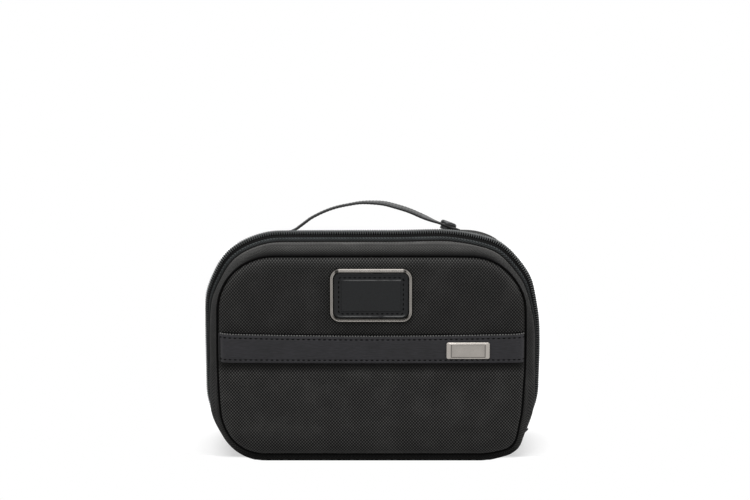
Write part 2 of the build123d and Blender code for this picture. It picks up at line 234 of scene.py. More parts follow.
def makeMesh(name, points, faces, material, uvs=None, sharp=40):
    mesh = bpy.data.meshes.new(name)
    mesh.from_pydata(metres(points), [], faces)
    if uvs:
        layer = mesh.uv_layers.new(name="cloth")
        layer.data.foreach_set("uv", [c for corner in metres(uvs) for c in corner])
    work = bmesh.new()
    work.from_mesh(mesh)
    bmesh.ops.recalc_face_normals(work, faces=work.faces)
    work.to_mesh(mesh)
    work.free()
    mesh.polygons.foreach_set("use_smooth", [True] * len(mesh.polygons))
    mesh.set_sharp_from_angle(angle=math.radians(sharp))
    mesh.materials.append(material)
    return newObject(name, mesh)


def place(piece, body, slotName, *nodes):
    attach(piece, body)
    if nodes:
        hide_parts(*nodes)
    return piece


# Skins a closed profile of depths and lifts along places on the outline
def sweepRing(name, side, places, profile, material, sizeFor=sizeAt, closed=True):
    rows = []
    for feature, part in places:
        pairs = profile(feature, part) if callable(profile) else profile
        rows.append([ringPlace(side, feature, part, *pair, sizeFor)[0] for pair in pairs])
    around = distances([row[0] for row in rows + rows[:1]])
    across = distances(rows[0] + rows[0][:1])
    count, deep = len(rows), len(rows[0])
    faces, uvs = [], []
    for i in range(count if closed else count - 1):
        for j in range(deep):
            corners = ((i, j), (i + 1, j), (i + 1, j + 1), (i, j + 1))
            faces.append([(a % count) * deep + b % deep for a, b in corners])
            uvs += [(around[a], across[b]) for a, b in corners]
    if not closed:
        for end in (0, count - 1):
            faces.append([end * deep + j for j in range(deep)])
            uvs += [(across[j], 0) for j in range(deep)]
    return makeMesh(name, [p for row in rows for p in row], faces, material, uvs)


# The faces on points that go round an open tube in equal rings, with a cap at each end
def tubeFaces(points, count):
    deep = len(points) // count
    faces = []
    for i in range(count - 1):
        for j in range(deep):
            a, b = i * deep + j, i * deep + (j + 1) % deep
            faces.append((a, b, b + deep, a + deep))
    return faces + [[i * deep + j for j in range(deep)] for i in (0, count - 1)]


# Moves a point of a plain rectangle into the outline with rounded corners
def toOutline(size, x, z):
    halfWidth, low, high, lowRadius, topRadius = size
    for radius, edge, way in ((lowRadius, low, -1), (topRadius, high, 1)):
        cornerX, cornerZ = halfWidth - radius, edge - way * radius
        s, t = (abs(x) - cornerX) / radius, way * (z - cornerZ) / radius
        if s > 0 and t > 0:
            roundX = cornerX + radius * s * math.sqrt(1 - t * t / 2)
            roundZ = cornerZ + way * radius * t * math.sqrt(1 - s * s / 2)
            return math.copysign(roundX, x), roundZ
    return x, z


# How far a point lies inside the outline
def edgeInset(size, x, z):
    halfWidth, low, high, lowRadius, topRadius = size
    middle = (low + high) / 2
    radius = lowRadius if z < middle else topRadius
    x, z = abs(x) - (halfWidth - radius), abs(z - middle) - ((high - low) / 2 - radius)
    return radius - math.hypot(max(x, 0), max(z, 0)) - min(max(x, z), 0)


edgeSteps = (0, 0.35, 0.8, 1.4, 2.2, 3.2, 4.5, 6, 8, 10.5, 13.5, 17, 21, 25.5)


# Grid lines between two ends, close together at both
def gridLines(start, end, spacing, lowSteps=edgeSteps, highSteps=edgeSteps):
    first, last = start + lowSteps[-1], end - highSteps[-1]
    count = max(2, round((last - first) / spacing))
    lines = [start + step for step in lowSteps]
    lines += [first + (last - first) * i / count for i in range(1, count)]
    return lines + [end - step for step in reversed(highSteps)]


# A closed sheet between an outer and an inner face, on grid lines fitted to an outline
def makeSheet(name, side, size, xs, zs, outer, inner, material):
    spots = [toOutline(size, x, z) for z in zs for x in xs]
    wide, tall = len(xs), len(zs)
    points = []
    for skin in (outer, inner):
        for x, z in spots:
            atX, atZ = settle(x, seamDepth, z, side)
            points.append((atX, side * skin(x, z), atZ))
    faces = []
    for shift in (0, wide * tall):
        for j in range(tall - 1):
            for i in range(wide - 1):
                a = shift + j * wide + i
                faces.append((a, a + 1, a + wide + 1, a + wide))
    rim = list(range(wide)) + [j * wide + wide - 1 for j in range(1, tall)]
    rim += [(tall - 1) * wide + i for i in range(wide - 2, -1, -1)]
    rim += [j * wide for j in range(tall - 2, 0, -1)]
    for a, b in zip(rim, rim[1:] + rim[:1]):
        faces.append((a, b, b + wide * tall, a + wide * tall))
    uvs = [(points[corner][0], points[corner][2]) for face in faces for corner in face]
    return makeMesh(name, points, faces, material, uvs)


# Links a socket or a node's first output to a socket, or sets a plain value there
def connect(tree, value, socket):
    if isinstance(value, bpy.types.Node):
        value = value.outputs[0]
    if isinstance(value, bpy.types.NodeSocket):
        tree.links.new(value, socket)
    else:
        socket.default_value = value


def addNode(tree, kind, properties=None, **values):
    node = tree.nodes.new(kind)
    for label, value in (properties or {}).items():
        setattr(node, label, value)
    for label, value in values.items():
        connect(tree, value, node.inputs[label.replace("_", " ")])
    return node


# Feeds a node's first inputs in their own order
def feed(tree, node, *values):
    for value, socket in zip(values, node.inputs):
        connect(tree, value, socket)
    return node.outputs[0]


def calc(tree, operation, *values, kind="ShaderNodeMath"):
    return feed(tree, addNode(tree, kind, {"operation": operation}), *values)


# A share from 0 to 1 as a swing about a middle value
def swing(tree, share, amount, middle=0):
    return calc(tree, "MULTIPLY_ADD", share, amount, middle - amount / 2)


# Blends two colours or two numbers. The Mix node has its own sockets for each kind.
def blend(tree, share, low, high, kind="RGBA"):
    node = addNode(tree, "ShaderNodeMix", {"data_type": kind})
    first, result = {"RGBA": (6, 2), "FLOAT": (2, 0)}[kind]
    for value, index in ((share, 0), (low, first), (high, first + 1)):
        connect(tree, value, node.inputs[index])
    return node.outputs[result]


def split(tree, place):
    return addNode(tree, "ShaderNodeSeparateXYZ", Vector=place).outputs


# One rounded ridge for each whole count
def ridges(tree, count):
    return calc(tree, "ABSOLUTE", calc(tree, "SINE", calc(tree, "MULTIPLY", count, math.pi)))


number = "NodeSocketFloat"


def newGroup(name, ins, outs):
    group = bpy.data.node_groups.new(name, "ShaderNodeTree")
    for label, value in ins.items():
        kind = "NodeSocketVector" if isinstance(value, tuple) else number
        socket = group.interface.new_socket(label, in_out="INPUT", socket_type=kind)
        socket.default_value = value
    for label in outs:
        group.interface.new_socket(label, in_out="OUTPUT", socket_type=number)
    given, result = group.nodes.new("NodeGroupInput"), group.nodes.new("NodeGroupOutput")
    return group, given.outputs, result.inputs


def useGroup(tree, group, **values):
    return addNode(tree, "ShaderNodeGroup", {"node_tree": group}, **values)


# Threads that pass over and under each other in square cells
def makeWeave():
    ins = {"Place": (0, 0, 0), "Cell": 1, "Tall": 1.1, "Strands": 2, "Rise": 0.5}
    group, given, result = newGroup("weave", ins, ("Height", "Over"))
    at = split(group, given["Place"])
    tall = calc(group, "MULTIPLY", given["Cell"], given["Tall"])
    cells = [calc(group, "DIVIDE", at[0], given["Cell"]), calc(group, "DIVIDE", at[1], tall)]
    both = calc(group, "ADD", *(calc(group, "FLOOR", way) for way in cells))
    over = calc(group, "FLOORED_MODULO", both, 2)
    rounds, strands = [], []
    for way in cells:
        middle = calc(group, "MULTIPLY_ADD", calc(group, "FRACT", way), 2, -1)
        rounds.append(calc(group, "SUBTRACT", 1, calc(group, "MULTIPLY", middle, middle)))
        strands.append(ridges(group, calc(group, "MULTIPLY", way, given["Strands"])))
    ways = []
    for along, across in ((0, 1), (1, 0)):
        sunk = calc(group, "MULTIPLY_ADD", rounds[along], given["Rise"], 0.4)
        body = calc(group, "MULTIPLY", calc(group, "SQRT", rounds[across]), sunk)
        parted = calc(group, "MULTIPLY_ADD", strands[across], 0.3, 0.7)
        ways.append(calc(group, "MULTIPLY", body, parted))
    connect(group, blend(group, over, *ways, "FLOAT"), result["Height"])
    connect(group, calc(group, "MULTIPLY", over, ways[1]), result["Over"])
    return group


# Parallel ribs, as on ribbon and zip tape, that lean one way and then the other
def makeRibs():
    ins = {"Place": (0, 0, 0), "Pitch": 1, "Band": 3, "Slant": 1}
    group, given, result = newGroup("ribs", ins, ("Height",))
    at = split(group, given["Place"])
    bands = calc(group, "PINGPONG", at[1], given["Band"])
    lean = calc(group, "MULTIPLY_ADD", bands, given["Slant"], at[0])
    connect(group, ridges(group, calc(group, "DIVIDE", lean, given["Pitch"])), result["Height"])
    return group


def stretched(group, given):
    return calc(group, "MULTIPLY", given["Place"], given["Stretch"], kind="ShaderNodeVectorMath")


# Pebbles of leather over a slow rise and fall
def makeGrain():
    ins = {"Place": (0, 0, 0), "Pebble": 1, "Stretch": (1, 1, 1)}
    group, given, result = newGroup("grain", ins, ("Height", "Patches"))
    at = stretched(group, given)
    scale, fineScale = (calc(group, "DIVIDE", times, given["Pebble"]) for times in (1, 3))
    cells = addNode(group, "ShaderNodeTexVoronoi", {"feature": "SMOOTH_F1"}, Vector=at, Scale=scale)
    slow = addNode(group, "ShaderNodeTexNoise", Vector=given["Place"], Scale=0.08)
    fine = addNode(group, "ShaderNodeTexNoise", Vector=at, Scale=fineScale)
    pebbles = calc(group, "SUBTRACT", 1, cells.outputs["Distance"])
    connect(group, calc(group, "MULTIPLY_ADD", fine, 0.4, pebbles), result["Height"])
    connect(group, slow, result["Patches"])
    return group


# Fine scratches drawn one way, as brushing leaves on metal
def makeBrushing():
    ins = {"Place": (0, 0, 0), "Stretch": (0.05, 1, 6)}
    group, given, result = newGroup("brushing", ins, ("Height",))
    at = stretched(group, given)
    connect(group, addNode(group, "ShaderNodeTexNoise", Vector=at, Scale=1.5, Detail=4), result["Height"])
    return group


weaveGroup, ribsGroup = makeWeave(), makeRibs()
grainGroup, brushGroup = makeGrain(), makeBrushing()


def objectPlace(tree):
    return addNode(tree, "ShaderNodeTexCoord").outputs["Object"]


# A place in millimetres, from the object's own space or from the piece's own cloth map
def placeIn(tree, clothMap=False):
    source = addNode(tree, "ShaderNodeUVMap", {"uv_map": "cloth"}) if clothMap else objectPlace(tree)
    return addNode(tree, "ShaderNodeVectorMath", {"operation": "SCALE"}, Vector=source, Scale=1000)


def slowPatches(tree, size):
    return addNode(tree, "ShaderNodeTexNoise", Scale=1000 / size, Vector=objectPlace(tree))


# A share that follows one direction of a place, as (distance, share) pairs from a start to an end
def shadeAlong(tree, place, direction, stops):
    first, last = stops[0][0], stops[-1][0]
    ramp = tree.nodes.new("ShaderNodeValToRGB")
    for i, (distance, share) in enumerate(stops):
        stop = ramp.color_ramp.elements[i] if i < 2 else ramp.color_ramp.elements.new(1)
        stop.position, stop.color = (distance - first) / (last - first), grey(share)
    passed = calc(tree, "SUBTRACT", split(tree, place)[direction], first)
    return feed(tree, ramp, calc(tree, "DIVIDE", passed, last - first))


def grey(value, tint=(1, 1, 1)):
    return tuple(value * c for c in tint) + (1,)


def tone(tree, share, v):
    return blend(tree, share, grey(v["dark"], v["tint"]), grey(v["light"], v["tint"]))


def newMaterial(name, v):
    material = bpy.data.materials.new(name)
    material.use_nodes = True
    shader = material.node_tree.nodes["Principled BSDF"]
    for label, socket in (
        ("roughness", "Roughness"), ("sheen", "Sheen Weight"), ("sheenSpread", "Sheen Roughness"),
        ("gloss", "Specular IOR Level"),
    ):
        if label in v:
            shader.inputs[socket].default_value = v[label]
    return material, material.node_tree, shader


# Gives the shader its colour and its relief
def finishMaterial(tree, shader, colour, height, depth, strength=1.0):
    connect(tree, colour, shader.inputs["Base Color"])
    bump = addNode(tree, "ShaderNodeBump", Distance=depth / 1000, Strength=strength, Height=height)
    connect(tree, bump, shader.inputs["Normal"])


# What all looks of one kind share. A patch is the size of the slow patches in the colour.
wovenLook = {"sheenSpread": 0.4, "patch": 18, "patchy": 0.5}
ribbedLook = {"patch": 12, "patchy": (0.5, -0.2), "sharpness": 2, "peaks": 0.8}
leatherLook = {"grainy": (0.5, -0.1), "patchy": 0.6, "roughSwing": 0.2}
metalLook = {"patch": 9, "patchy": (0.7, -0.1), "roughSwing": 0.16, "strength": 0.5}


def wovenMaterial(name, look):
    v = {**wovenLook, **look}
    material, tree, shader = newMaterial(name, v)
    where = placeIn(tree, True)
    weave = useGroup(tree, weaveGroup, Place=where, Cell=v["cell"], Strands=v["strands"])
    patches = swing(tree, slowPatches(tree, v["patch"]), v["patchy"])
    share = calc(tree, "MULTIPLY_ADD", weave.outputs["Over"], v["contrast"], patches)
    colour = tone(tree, calc(tree, "MAXIMUM", share, 0), v)
    # Painted shade and painted highlight: ramps by height, and on the top a ramp across the cloth map, scale
    # the colour towards black
    if "height" in v:
        shade = shadeAlong(tree, placeIn(tree), 2, v["height"])
        if "across" in v:
            edge = calc(tree, "SUBTRACT", shadeAlong(tree, where, 1, v["across"]), v["plain"])
            upper = shadeAlong(tree, placeIn(tree), 2, v["acrossAt"])
            shade = calc(tree, "MULTIPLY", shade, calc(tree, "MULTIPLY_ADD", edge, upper, v["plain"]))
        colour = blend(tree, shade, grey(0), colour)
    finishMaterial(tree, shader, colour, weave.outputs["Height"], v["bump"])
    return material


def ribbedMaterial(name, look):
    v = {**ribbedLook, **look}
    material, tree, shader = newMaterial(name, v)
    where = placeIn(tree, True)
    ribs = useGroup(tree, ribsGroup, Place=where, Pitch=v["pitch"], Band=v["band"], Slant=v["slant"])
    patches = calc(tree, "MULTIPLY_ADD", slowPatches(tree, v["patch"]), *v["patchy"])
    peaks = calc(tree, "POWER", ribs, v["sharpness"])
    share = calc(tree, "MAXIMUM", calc(tree, "MULTIPLY_ADD", peaks, v["peaks"], patches), 0)
    # Painted shade: a ramp across the cloth map darkens the colour
    if "across" in v:
        share = calc(tree, "MULTIPLY", share, shadeAlong(tree, where, 1, v["across"]))
    finishMaterial(tree, shader, tone(tree, share, v), ribs, v["bump"])
    return material


# Leather can have a painted highlight: a lighter colour on faces where its skin looks up, broken up in slow
# patches
def leatherMaterial(name, look):
    v = {**leatherLook, **look}
    material, tree, shader = newMaterial(name, v)
    grain = useGroup(tree, grainGroup, Place=placeIn(tree), Pebble=v["pebble"], Stretch=v["stretch"])
    height, patches = grain.outputs["Height"], grain.outputs["Patches"]
    share = calc(tree, "MULTIPLY_ADD", height, *v["grainy"])
    colour = tone(tree, calc(tree, "ADD", share, swing(tree, patches, v["patchy"])), v)
    # Painted highlight: faces that look up turn towards the edge colour
    if "edge" in v:
        facing = split(tree, addNode(tree, "ShaderNodeTexCoord").outputs["Normal"])[2]
        upward = calc(tree, "MAXIMUM", calc(tree, "MULTIPLY_ADD", facing, *v["upward"]), 0)
        highlightPatches = calc(tree, "MULTIPLY_ADD", patches, *v["highlightPatches"])
        colour = blend(tree, calc(tree, "MULTIPLY", upward, highlightPatches), colour, grey(v["edge"]))
    rough = swing(tree, patches, v["roughSwing"], v["roughness"])
    connect(tree, rough, shader.inputs["Roughness"])
    finishMaterial(tree, shader, colour, height, v["bump"])
    return material


# Metal can have painted shade and painted dark reflections: a dark rim and grooves by inset, and dark bands
# along one direction except at some heights
def metalMaterial(name, look):
    v = {**metalLook, **look}
    material, tree, shader = newMaterial(name, v)
    shader.inputs["Metallic"].default_value = 1
    brushing = useGroup(tree, brushGroup, Place=placeIn(tree), Stretch=v["stretch"])
    rough = swing(tree, brushing, v["roughSwing"], v["roughness"])
    connect(tree, rough, shader.inputs["Roughness"])
    colour = tone(tree, calc(tree, "MULTIPLY_ADD", slowPatches(tree, v["patch"]), *v["patchy"]), v)
    # Painted shade and painted dark reflections blend the colour towards a dark tone
    if "stops" in v:
        shade = shadeAlong(tree, placeIn(tree, True), 1, v["stops"])
        for clothMap, direction, stops, heights in v.get("paintedReflectionCuts", ()):
            cut = shadeAlong(tree, placeIn(tree, clothMap), direction, stops)
            spared = shadeAlong(tree, placeIn(tree), 2, heights)
            shade = calc(tree, "MULTIPLY", shade, calc(tree, "MAXIMUM", cut, spared))
        colour = blend(tree, shade, grey(v["paintedShadeTone"], v["tint"]), colour)
    finishMaterial(tree, shader, colour, brushing, v["bump"], v["strength"])
    return material


def plainMaterial(name, v):
    material, tree, shader = newMaterial(name, v)
    patches = slowPatches(tree, v["patch"])
    finishMaterial(tree, shader, tone(tree, patches, v), patches, v["bump"])
    return material


warm, cool, neutral = (1, 0.985, 0.95), (0.94, 0.99, 1.06), (1, 1, 1)
fabric = {
    "roughness": 0.8, "sheen": 0.03, "cell": 1.155, "strands": 2, "dark": 0.004, "contrast": 1.2,
    "bump": 0.36, "tint": warm,
}
wovenCloth = wovenMaterial("wovenCloth", {**fabric, "gloss": 0.15, "light": 0.078})
# The pocket's cloth is the woven cloth, a little lighter. Its height ramp is painted shade: darkest in a
# strip under the band's lower edge, and a little darker towards the bottom.
pocketCloth = wovenMaterial("pocketCloth", {
    **fabric, "gloss": 0.13, "light": 0.11,
    "height": ((0, 0.75), (14, 0.85), (30, 1), (71, 1), (76.5, 0.3), (80, 0.12)),
})
# The gusset's colour holds painted light. Across the cloth on the top there is a painted highlight along the
# rolled edge beside the zip, and painted shade towards the seam. By height there is painted shade on the
# sides, darkest at the bottom, with the top brightest.
gussetCloth = wovenMaterial("gussetCloth", {
    **fabric, "gloss": 0.07, "dark": 0.01, "light": 0.25, "bump": 0.45,
    "height": ((0, 0.1), (5, 0.15), (12, 0.8), (28, 1), (58, 0.9), (72, 0.58), (146, 0.56), (162, 1)),
    "across": ((0, 0.3), (3, 0.65), (14, 0.8), (18.5, 0.34), (23, 0.42), (28, 0.27), (31.5, 0.07), (34, 0)),
    "acrossAt": ((140, 0), (160, 1)), "plain": 0.41,
})
pipingCloth = wovenMaterial("pipingCloth", {
    "roughness": 0.9, "sheen": 0.0, "gloss": 0.05, "cell": 0.7, "strands": 1,
    "dark": 0.002, "light": 0.006, "contrast": 1, "bump": 0.1, "tint": neutral,
})
liningCloth = wovenMaterial("liningCloth", {
    "roughness": 0.6, "sheen": 0.1, "gloss": 0.4, "cell": 0.45, "strands": 1,
    "dark": 0.02, "light": 0.045, "contrast": 1, "bump": 0.05, "tint": cool,
})
bindingCloth = ribbedMaterial("bindingCloth", {
    "roughness": 0.8, "sheen": 0.1, "gloss": 0.3, "pitch": 0.9, "band": 50, "slant": 0,
    "dark": 0.008, "light": 0.026, "bump": 0.15, "tint": neutral,
})
# The tape's across ramp is painted shade: the tape is darker where it dives under the gusset's rolled edge
tapeCloth = ribbedMaterial("tapeCloth", {
    "roughness": 0.8, "sheen": 0.0, "gloss": 0.1, "pitch": 2.4, "band": 2.4, "slant": 1.2,
    "dark": 0.001, "light": 0.09, "bump": 0.5, "tint": (0.9, 1.0, 1.02),
    "across": ((0, 1), (6.5, 1), (8.2, 0.45), (9.6, 0.2), (40, 0.2)),
})
coilPlastic = plainMaterial("coilPlastic", {
    "roughness": 0.45, "gloss": 0.16, "patch": 2,
    "dark": 0.09, "light": 0.17, "bump": 0.02, "tint": (0.96, 1.0, 1.0),
})
threadCord = plainMaterial("threadCord", {
    "roughness": 0.7, "gloss": 0.04, "patch": 0.5,
    "dark": 0.001, "light": 0.005, "bump": 0.05, "tint": neutral,
})
# The lip's threads are light in colour: a painted highlight where the folded edge catches the light
lipHighlightThread = plainMaterial("lipHighlightThread", {
    "roughness": 0.55, "gloss": 0.4, "patch": 6,
    "dark": 0.05, "light": 0.26, "bump": 0.05, "tint": (1, 0.99, 0.97),
})
# The patch leather's edge colour is a painted highlight on faces that look up, such as its groove walls
smoothLeather = leatherMaterial("smoothLeather", {
    "roughness": 0.6, "gloss": 0.25, "pebble": 0.9, "stretch": (1, 1, 1),
    "dark": 0.008, "light": 0.022, "bump": 0.08, "tint": (0.93, 0.99, 1.06),
    "edge": 0.13, "upward": (4, -1.2), "highlightPatches": (4, -1.3),
})
strapLeather = leatherMaterial("strapLeather", {
    "roughness": 0.4, "gloss": 0.5, "pebble": 0.8, "stretch": (0.6, 1, 1),
    "dark": 0.006, "light": 0.018, "bump": 0.04, "tint": (0.96, 1, 1.02),
})
bandLeather = leatherMaterial("bandLeather", {
    "roughness": 0.55, "gloss": 0.3, "pebble": 0.8, "stretch": (0.15, 1, 1.3),
    "dark": 0.008, "light": 0.04, "bump": 0.2, "tint": (1.0, 0.97, 1.12),
})
brushedMetal = metalMaterial("brushedMetal", {
    "roughness": 0.3, "stretch": (0.05, 1, 2),
    "dark": 0.26, "light": 0.38, "bump": 0.005, "tint": (1, 0.95, 0.89),
})
# The frame's colour holds painted shade and painted dark reflections: dark outer and inner edges and a dark
# groove line by inset, a dark inner slope along the lower side, and two dark notches across the top side
# near its corners
frameMetal = metalMaterial("frameMetal", {
    "roughness": 0.26, "stretch": (0.05, 1, 1),
    "dark": 0.24, "light": 0.4, "bump": 0.0006, "tint": (1, 0.94, 0.87), "paintedShadeTone": 0.02,
    "stops": ((0, 0.15), (0.6, 0.4), (0.9, 1), (1.35, 1), (1.5, 0.3), (1.65, 1), (2.6, 1), (3.1, 0.1)),
    "paintedReflectionCuts": (
        (True, 1, ((0, 1), (1.7, 1), (2.0, 0.02), (3.4, 0.02)), ((111, 0), (115.4, 0), (118.5, 1))),
        (False, 0, (
            (-40, 1), (-28.7, 1), (-27.8, 0.05), (-26, 0.05), (-25.1, 1), (23.4, 1), (24.2, 0.15),
            (25.6, 0.15), (26.5, 1), (40, 1),
        ), ((146.5, 1), (148.6, 0), (153, 0))),
    ),
})
# The plate's colour holds painted shade: a near-black line in its groove and a darker rim, by inset
plateMetal = metalMaterial("plateMetal", {
    "roughness": 0.28, "stretch": (0.05, 1, 2),
    "dark": 0.37, "light": 0.5, "bump": 0.0012, "tint": (1, 0.93, 0.86), "paintedShadeTone": 0.01,
    "stops": ((0, 0.5), (0.3, 1), (1.25, 1), (1.38, 0.02), (1.62, 0.02), (1.75, 0.8), (5.9, 0.85)),
})
darkMetal = metalMaterial("darkMetal", {
    "roughness": 0.16, "stretch": (1, 1, 1),
    "dark": 0.03, "light": 0.06, "bump": 0.01, "tint": (0.98, 1, 1.03),
})
netThread = plainMaterial("netThread", {
    "roughness": 0.7, "gloss": 0.3, "patch": 1,
    "dark": 0.03, "light": 0.06, "bump": 0.05, "tint": neutral,
})

# The floor glows more with distance, and fades to white at its edge in front of the bag
studio = {
    "world": 0.3,
    "floorZ": -0.3,
    "floorLook": {"roughness": 0.9, "colour": 0.5},
    "floorPlan": (
        (-180, 3), (-145, -22), (-112, -34), (-92, -36), (-92, 3), (92, 3), (92, -36), (112, -39),
        (145, -25), (180, 3), (180, 900), (-180, 900),
    ),
    "glow": (0.52, 0.88),
    "glowReach": (0.25, 0.9),
    "frontFade": ((-38, 1), (-34, 0.7), (-22, 0)),
    "aim": (0, 0, 0.1),
    "lamps": (
        ("lampAbove", (0, 0.05, 1.5), (1.6, 1.2), 27),
        ("lampFront", (-0.6, -1.6, 1.7), (1.4, 1.0), 14),
        ("lampRight", (1.7, -1.2, 1.1), (1.0, 1.0), 6),
    ),
}


def seenDirectly(tree):
    path = tree.nodes.new("ShaderNodeLightPath").outputs
    either = calc(tree, "MAXIMUM", path["Is Camera Ray"], path["Is Glossy Ray"])
    return calc(tree, "MAXIMUM", either, path["Is Transmission Ray"])


def floorMaterial(v):
    material, tree, shader = newMaterial("floorPaper", v["floorLook"])
    shader.inputs["Base Color"].default_value = grey(v["floorLook"]["colour"])
    shader.inputs["Emission Color"].default_value = grey(1)
    length = addNode(tree, "ShaderNodeVectorMath", {"operation": "LENGTH"}, Vector=objectPlace(tree))
    far = addNode(
        tree, "ShaderNodeMapRange", {"interpolation_type": "SMOOTHSTEP"}, Value=length.outputs["Value"],
        From_Min=v["glowReach"][0], From_Max=v["glowReach"][1], To_Min=v["glow"][0], To_Max=v["glow"][1],
    )
    glow = calc(tree, "MAXIMUM", far, shadeAlong(tree, placeIn(tree), 1, v["frontFade"]))
    glow = calc(tree, "MULTIPLY", seenDirectly(tree), glow)
    connect(tree, glow, shader.inputs["Emission Strength"])
    return material


def makeStudio(v):
    world = bpy.data.worlds.new("studio")
    bpy.context.scene.world = world
    world.use_nodes = True
    tree = world.node_tree
    tree.nodes.clear()
    soft = addNode(tree, "ShaderNodeBackground", Color=grey(1), Strength=v["world"])
    seen = addNode(tree, "ShaderNodeBackground", Color=grey(1))
    mixed = feed(tree, tree.nodes.new("ShaderNodeMixShader"), seenDirectly(tree), soft, seen)
    addNode(tree, "ShaderNodeOutputWorld", Surface=mixed)
    for name, where, size, power in v["lamps"]:
        data = bpy.data.lights.new(name, "AREA")
        data.shape, data.size, data.size_y = "RECTANGLE", *size
        data.energy = power
        lamp = newObject(name, data)
        lamp.location = where
        turnTowards(lamp, Vector(v["aim"]) - Vector(where))
    corners = [(x, y, v["floorZ"]) for x, y in v["floorPlan"]]
    floor = makeMesh("floor", corners, [tuple(range(len(corners)))], floorMaterial(v))


makeStudio(studio)
print("camera, studio and materials ready")

# Geometry Nodes


def newTree(name, labels):
    tree = bpy.data.node_groups.new(name, "GeometryNodeTree")
    tree.is_modifier = True
    sockets = [("Geometry", "INPUT", "NodeSocketGeometry")]
    sockets += [(label, "INPUT", number) for label in labels]
    sockets += [("Material", "INPUT", "NodeSocketMaterial"), ("Geometry", "OUTPUT", "NodeSocketGeometry")]
    for label, way, kind in sockets:
        tree.interface.new_socket(label, in_out=way, socket_type=kind)
    given, result = tree.nodes.new("NodeGroupInput"), tree.nodes.new("NodeGroupOutput")
    return tree, given.outputs, result.inputs


def endTree(tree, given, result, shapes):
    whole = addNode(tree, "GeometryNodeRealizeInstances", Geometry=shapes)
    smooth = addNode(tree, "GeometryNodeSetShadeSmooth", Geometry=whole)
    painted = addNode(tree, "GeometryNodeSetMaterial", Geometry=smooth, Material=given["Material"])
    connect(tree, painted, result[0])
    return tree


# Sets a shape at every pitch along the lines, turned to the line and to the way out of the bag
def repeatAlong(tree, given, result, shape):
    curve = addNode(tree, "GeometryNodeMeshToCurve", Mesh=given["Geometry"])
    spaced = addNode(
        tree, "GeometryNodeResampleCurve", {"mode": "LENGTH"}, Curve=curve, Length=given["Pitch"],
    )
    tangent = addNode(tree, "GeometryNodeInputTangent")
    outward = addNode(
        tree, "GeometryNodeInputNamedAttribute", {"data_type": "FLOAT_VECTOR"}, Name="outward",
    )
    align = "FunctionNodeAlignRotationToVector"
    first = addNode(tree, align, {"axis": "X"}, Vector=tangent)
    turned = addNode(tree, align, {"axis": "Z", "pivot_axis": "X"}, Rotation=first, Vector=outward)
    placed = addNode(
        tree, "GeometryNodeInstanceOnPoints", Points=spaced, Instance=shape, Rotation=turned,
    )
    return endTree(tree, given, result, placed)


stitchSizes = ("Pitch", "Length", "Width", "Height")


def makeStitchTree():
    tree, given, result = newTree("stitchRow", stitchSizes)
    bead = addNode(tree, "GeometryNodeMeshUVSphere", Segments=8, Rings=5, Radius=0.5)
    scale = addNode(tree, "ShaderNodeCombineXYZ", X=given["Length"], Y=given["Width"], Z=given["Height"])
    shaped = addNode(tree, "GeometryNodeTransform", Geometry=bead, Scale=scale)
    return repeatAlong(tree, given, result, shaped)


# A nylon coil's turns: arches across the row, side by side along it
def makeCoilTree():
    tree, given, result = newTree("coilTurns", ("Pitch", "Half Width", "Height", "Wire", "Lean"))
    arc = addNode(
        tree, "GeometryNodeCurveArc", {"mode": "RADIUS"},
        Resolution=11, Radius=1.0, Start_Angle=math.radians(-50), Sweep_Angle=math.radians(280),
    )
    size = addNode(tree, "ShaderNodeCombineXYZ", X=given["Half Width"], Y=given["Height"], Z=1.0)
    wide = addNode(tree, "GeometryNodeTransform", Geometry=arc, Scale=size)
    across = addNode(tree, "ShaderNodeCombineXYZ", X=math.radians(90), Z=given["Lean"])
    upright = addNode(tree, "GeometryNodeTransform", Geometry=wide, Rotation=across)
    wire = addNode(tree, "GeometryNodeCurvePrimitiveCircle", Resolution=6, Radius=given["Wire"])
    turn = addNode(tree, "GeometryNodeCurveToMesh", Curve=upright, Profile_Curve=wire, Fill_Caps=True)
    return repeatAlong(tree, given, result, turn)


stitchTree, coilTree = makeStitchTree(), makeCoilTree()


# Runs a tree on a guide and keeps the plain mesh that it gives. Sizes are in millimetres, and an
# angle is in thousandths of a radian.
def takeResult(name, guide, tree, material, sizes):
    modifier = guide.modifiers.new("nodes", "NODES")
    modifier.node_group = tree
    values = {label: value / 1000 for label, value in sizes.items()}
    values["Material"] = material
    for item in tree.interface.items_tree:
        if item.in_out == "INPUT" and item.name in values:
            modifier[item.identifier] = values[item.name]
    guide.update_tag()
    evaluated = guide.evaluated_get(bpy.context.evaluated_depsgraph_get())
    result = bpy.data.meshes.new_from_object(evaluated)
    bpy.data.objects.remove(guide)
    return newObject(name, result)


# Runs a tree on lines of (point, outward) pairs
def runOnLines(name, tree, lines, material, sizes):
    pairs = [pair for line in lines for pair in line]
    edges, first = [], 0
    for line in lines:
        edges += [(first + i, first + i + 1) for i in range(len(line) - 1)]
        first += len(line)
    mesh = bpy.data.meshes.new(name + "Lines")
    mesh.from_pydata(metres([point for point, out in pairs]), edges, [])
    outs = [c for point, out in pairs for c in out]
    mesh.attributes.new("outward", "FLOAT_VECTOR", "POINT").data.foreach_set("vector", outs)
    return takeResult(name, newObject(name + "Lines", mesh), tree, material, sizes)


def addStitches(name, lines, sizes, body, slotName, material=threadCord):
    piece = runOnLines(name, stitchTree, lines, material, dict(zip(stitchSizes, sizes)))
    place(piece, body, slotName)


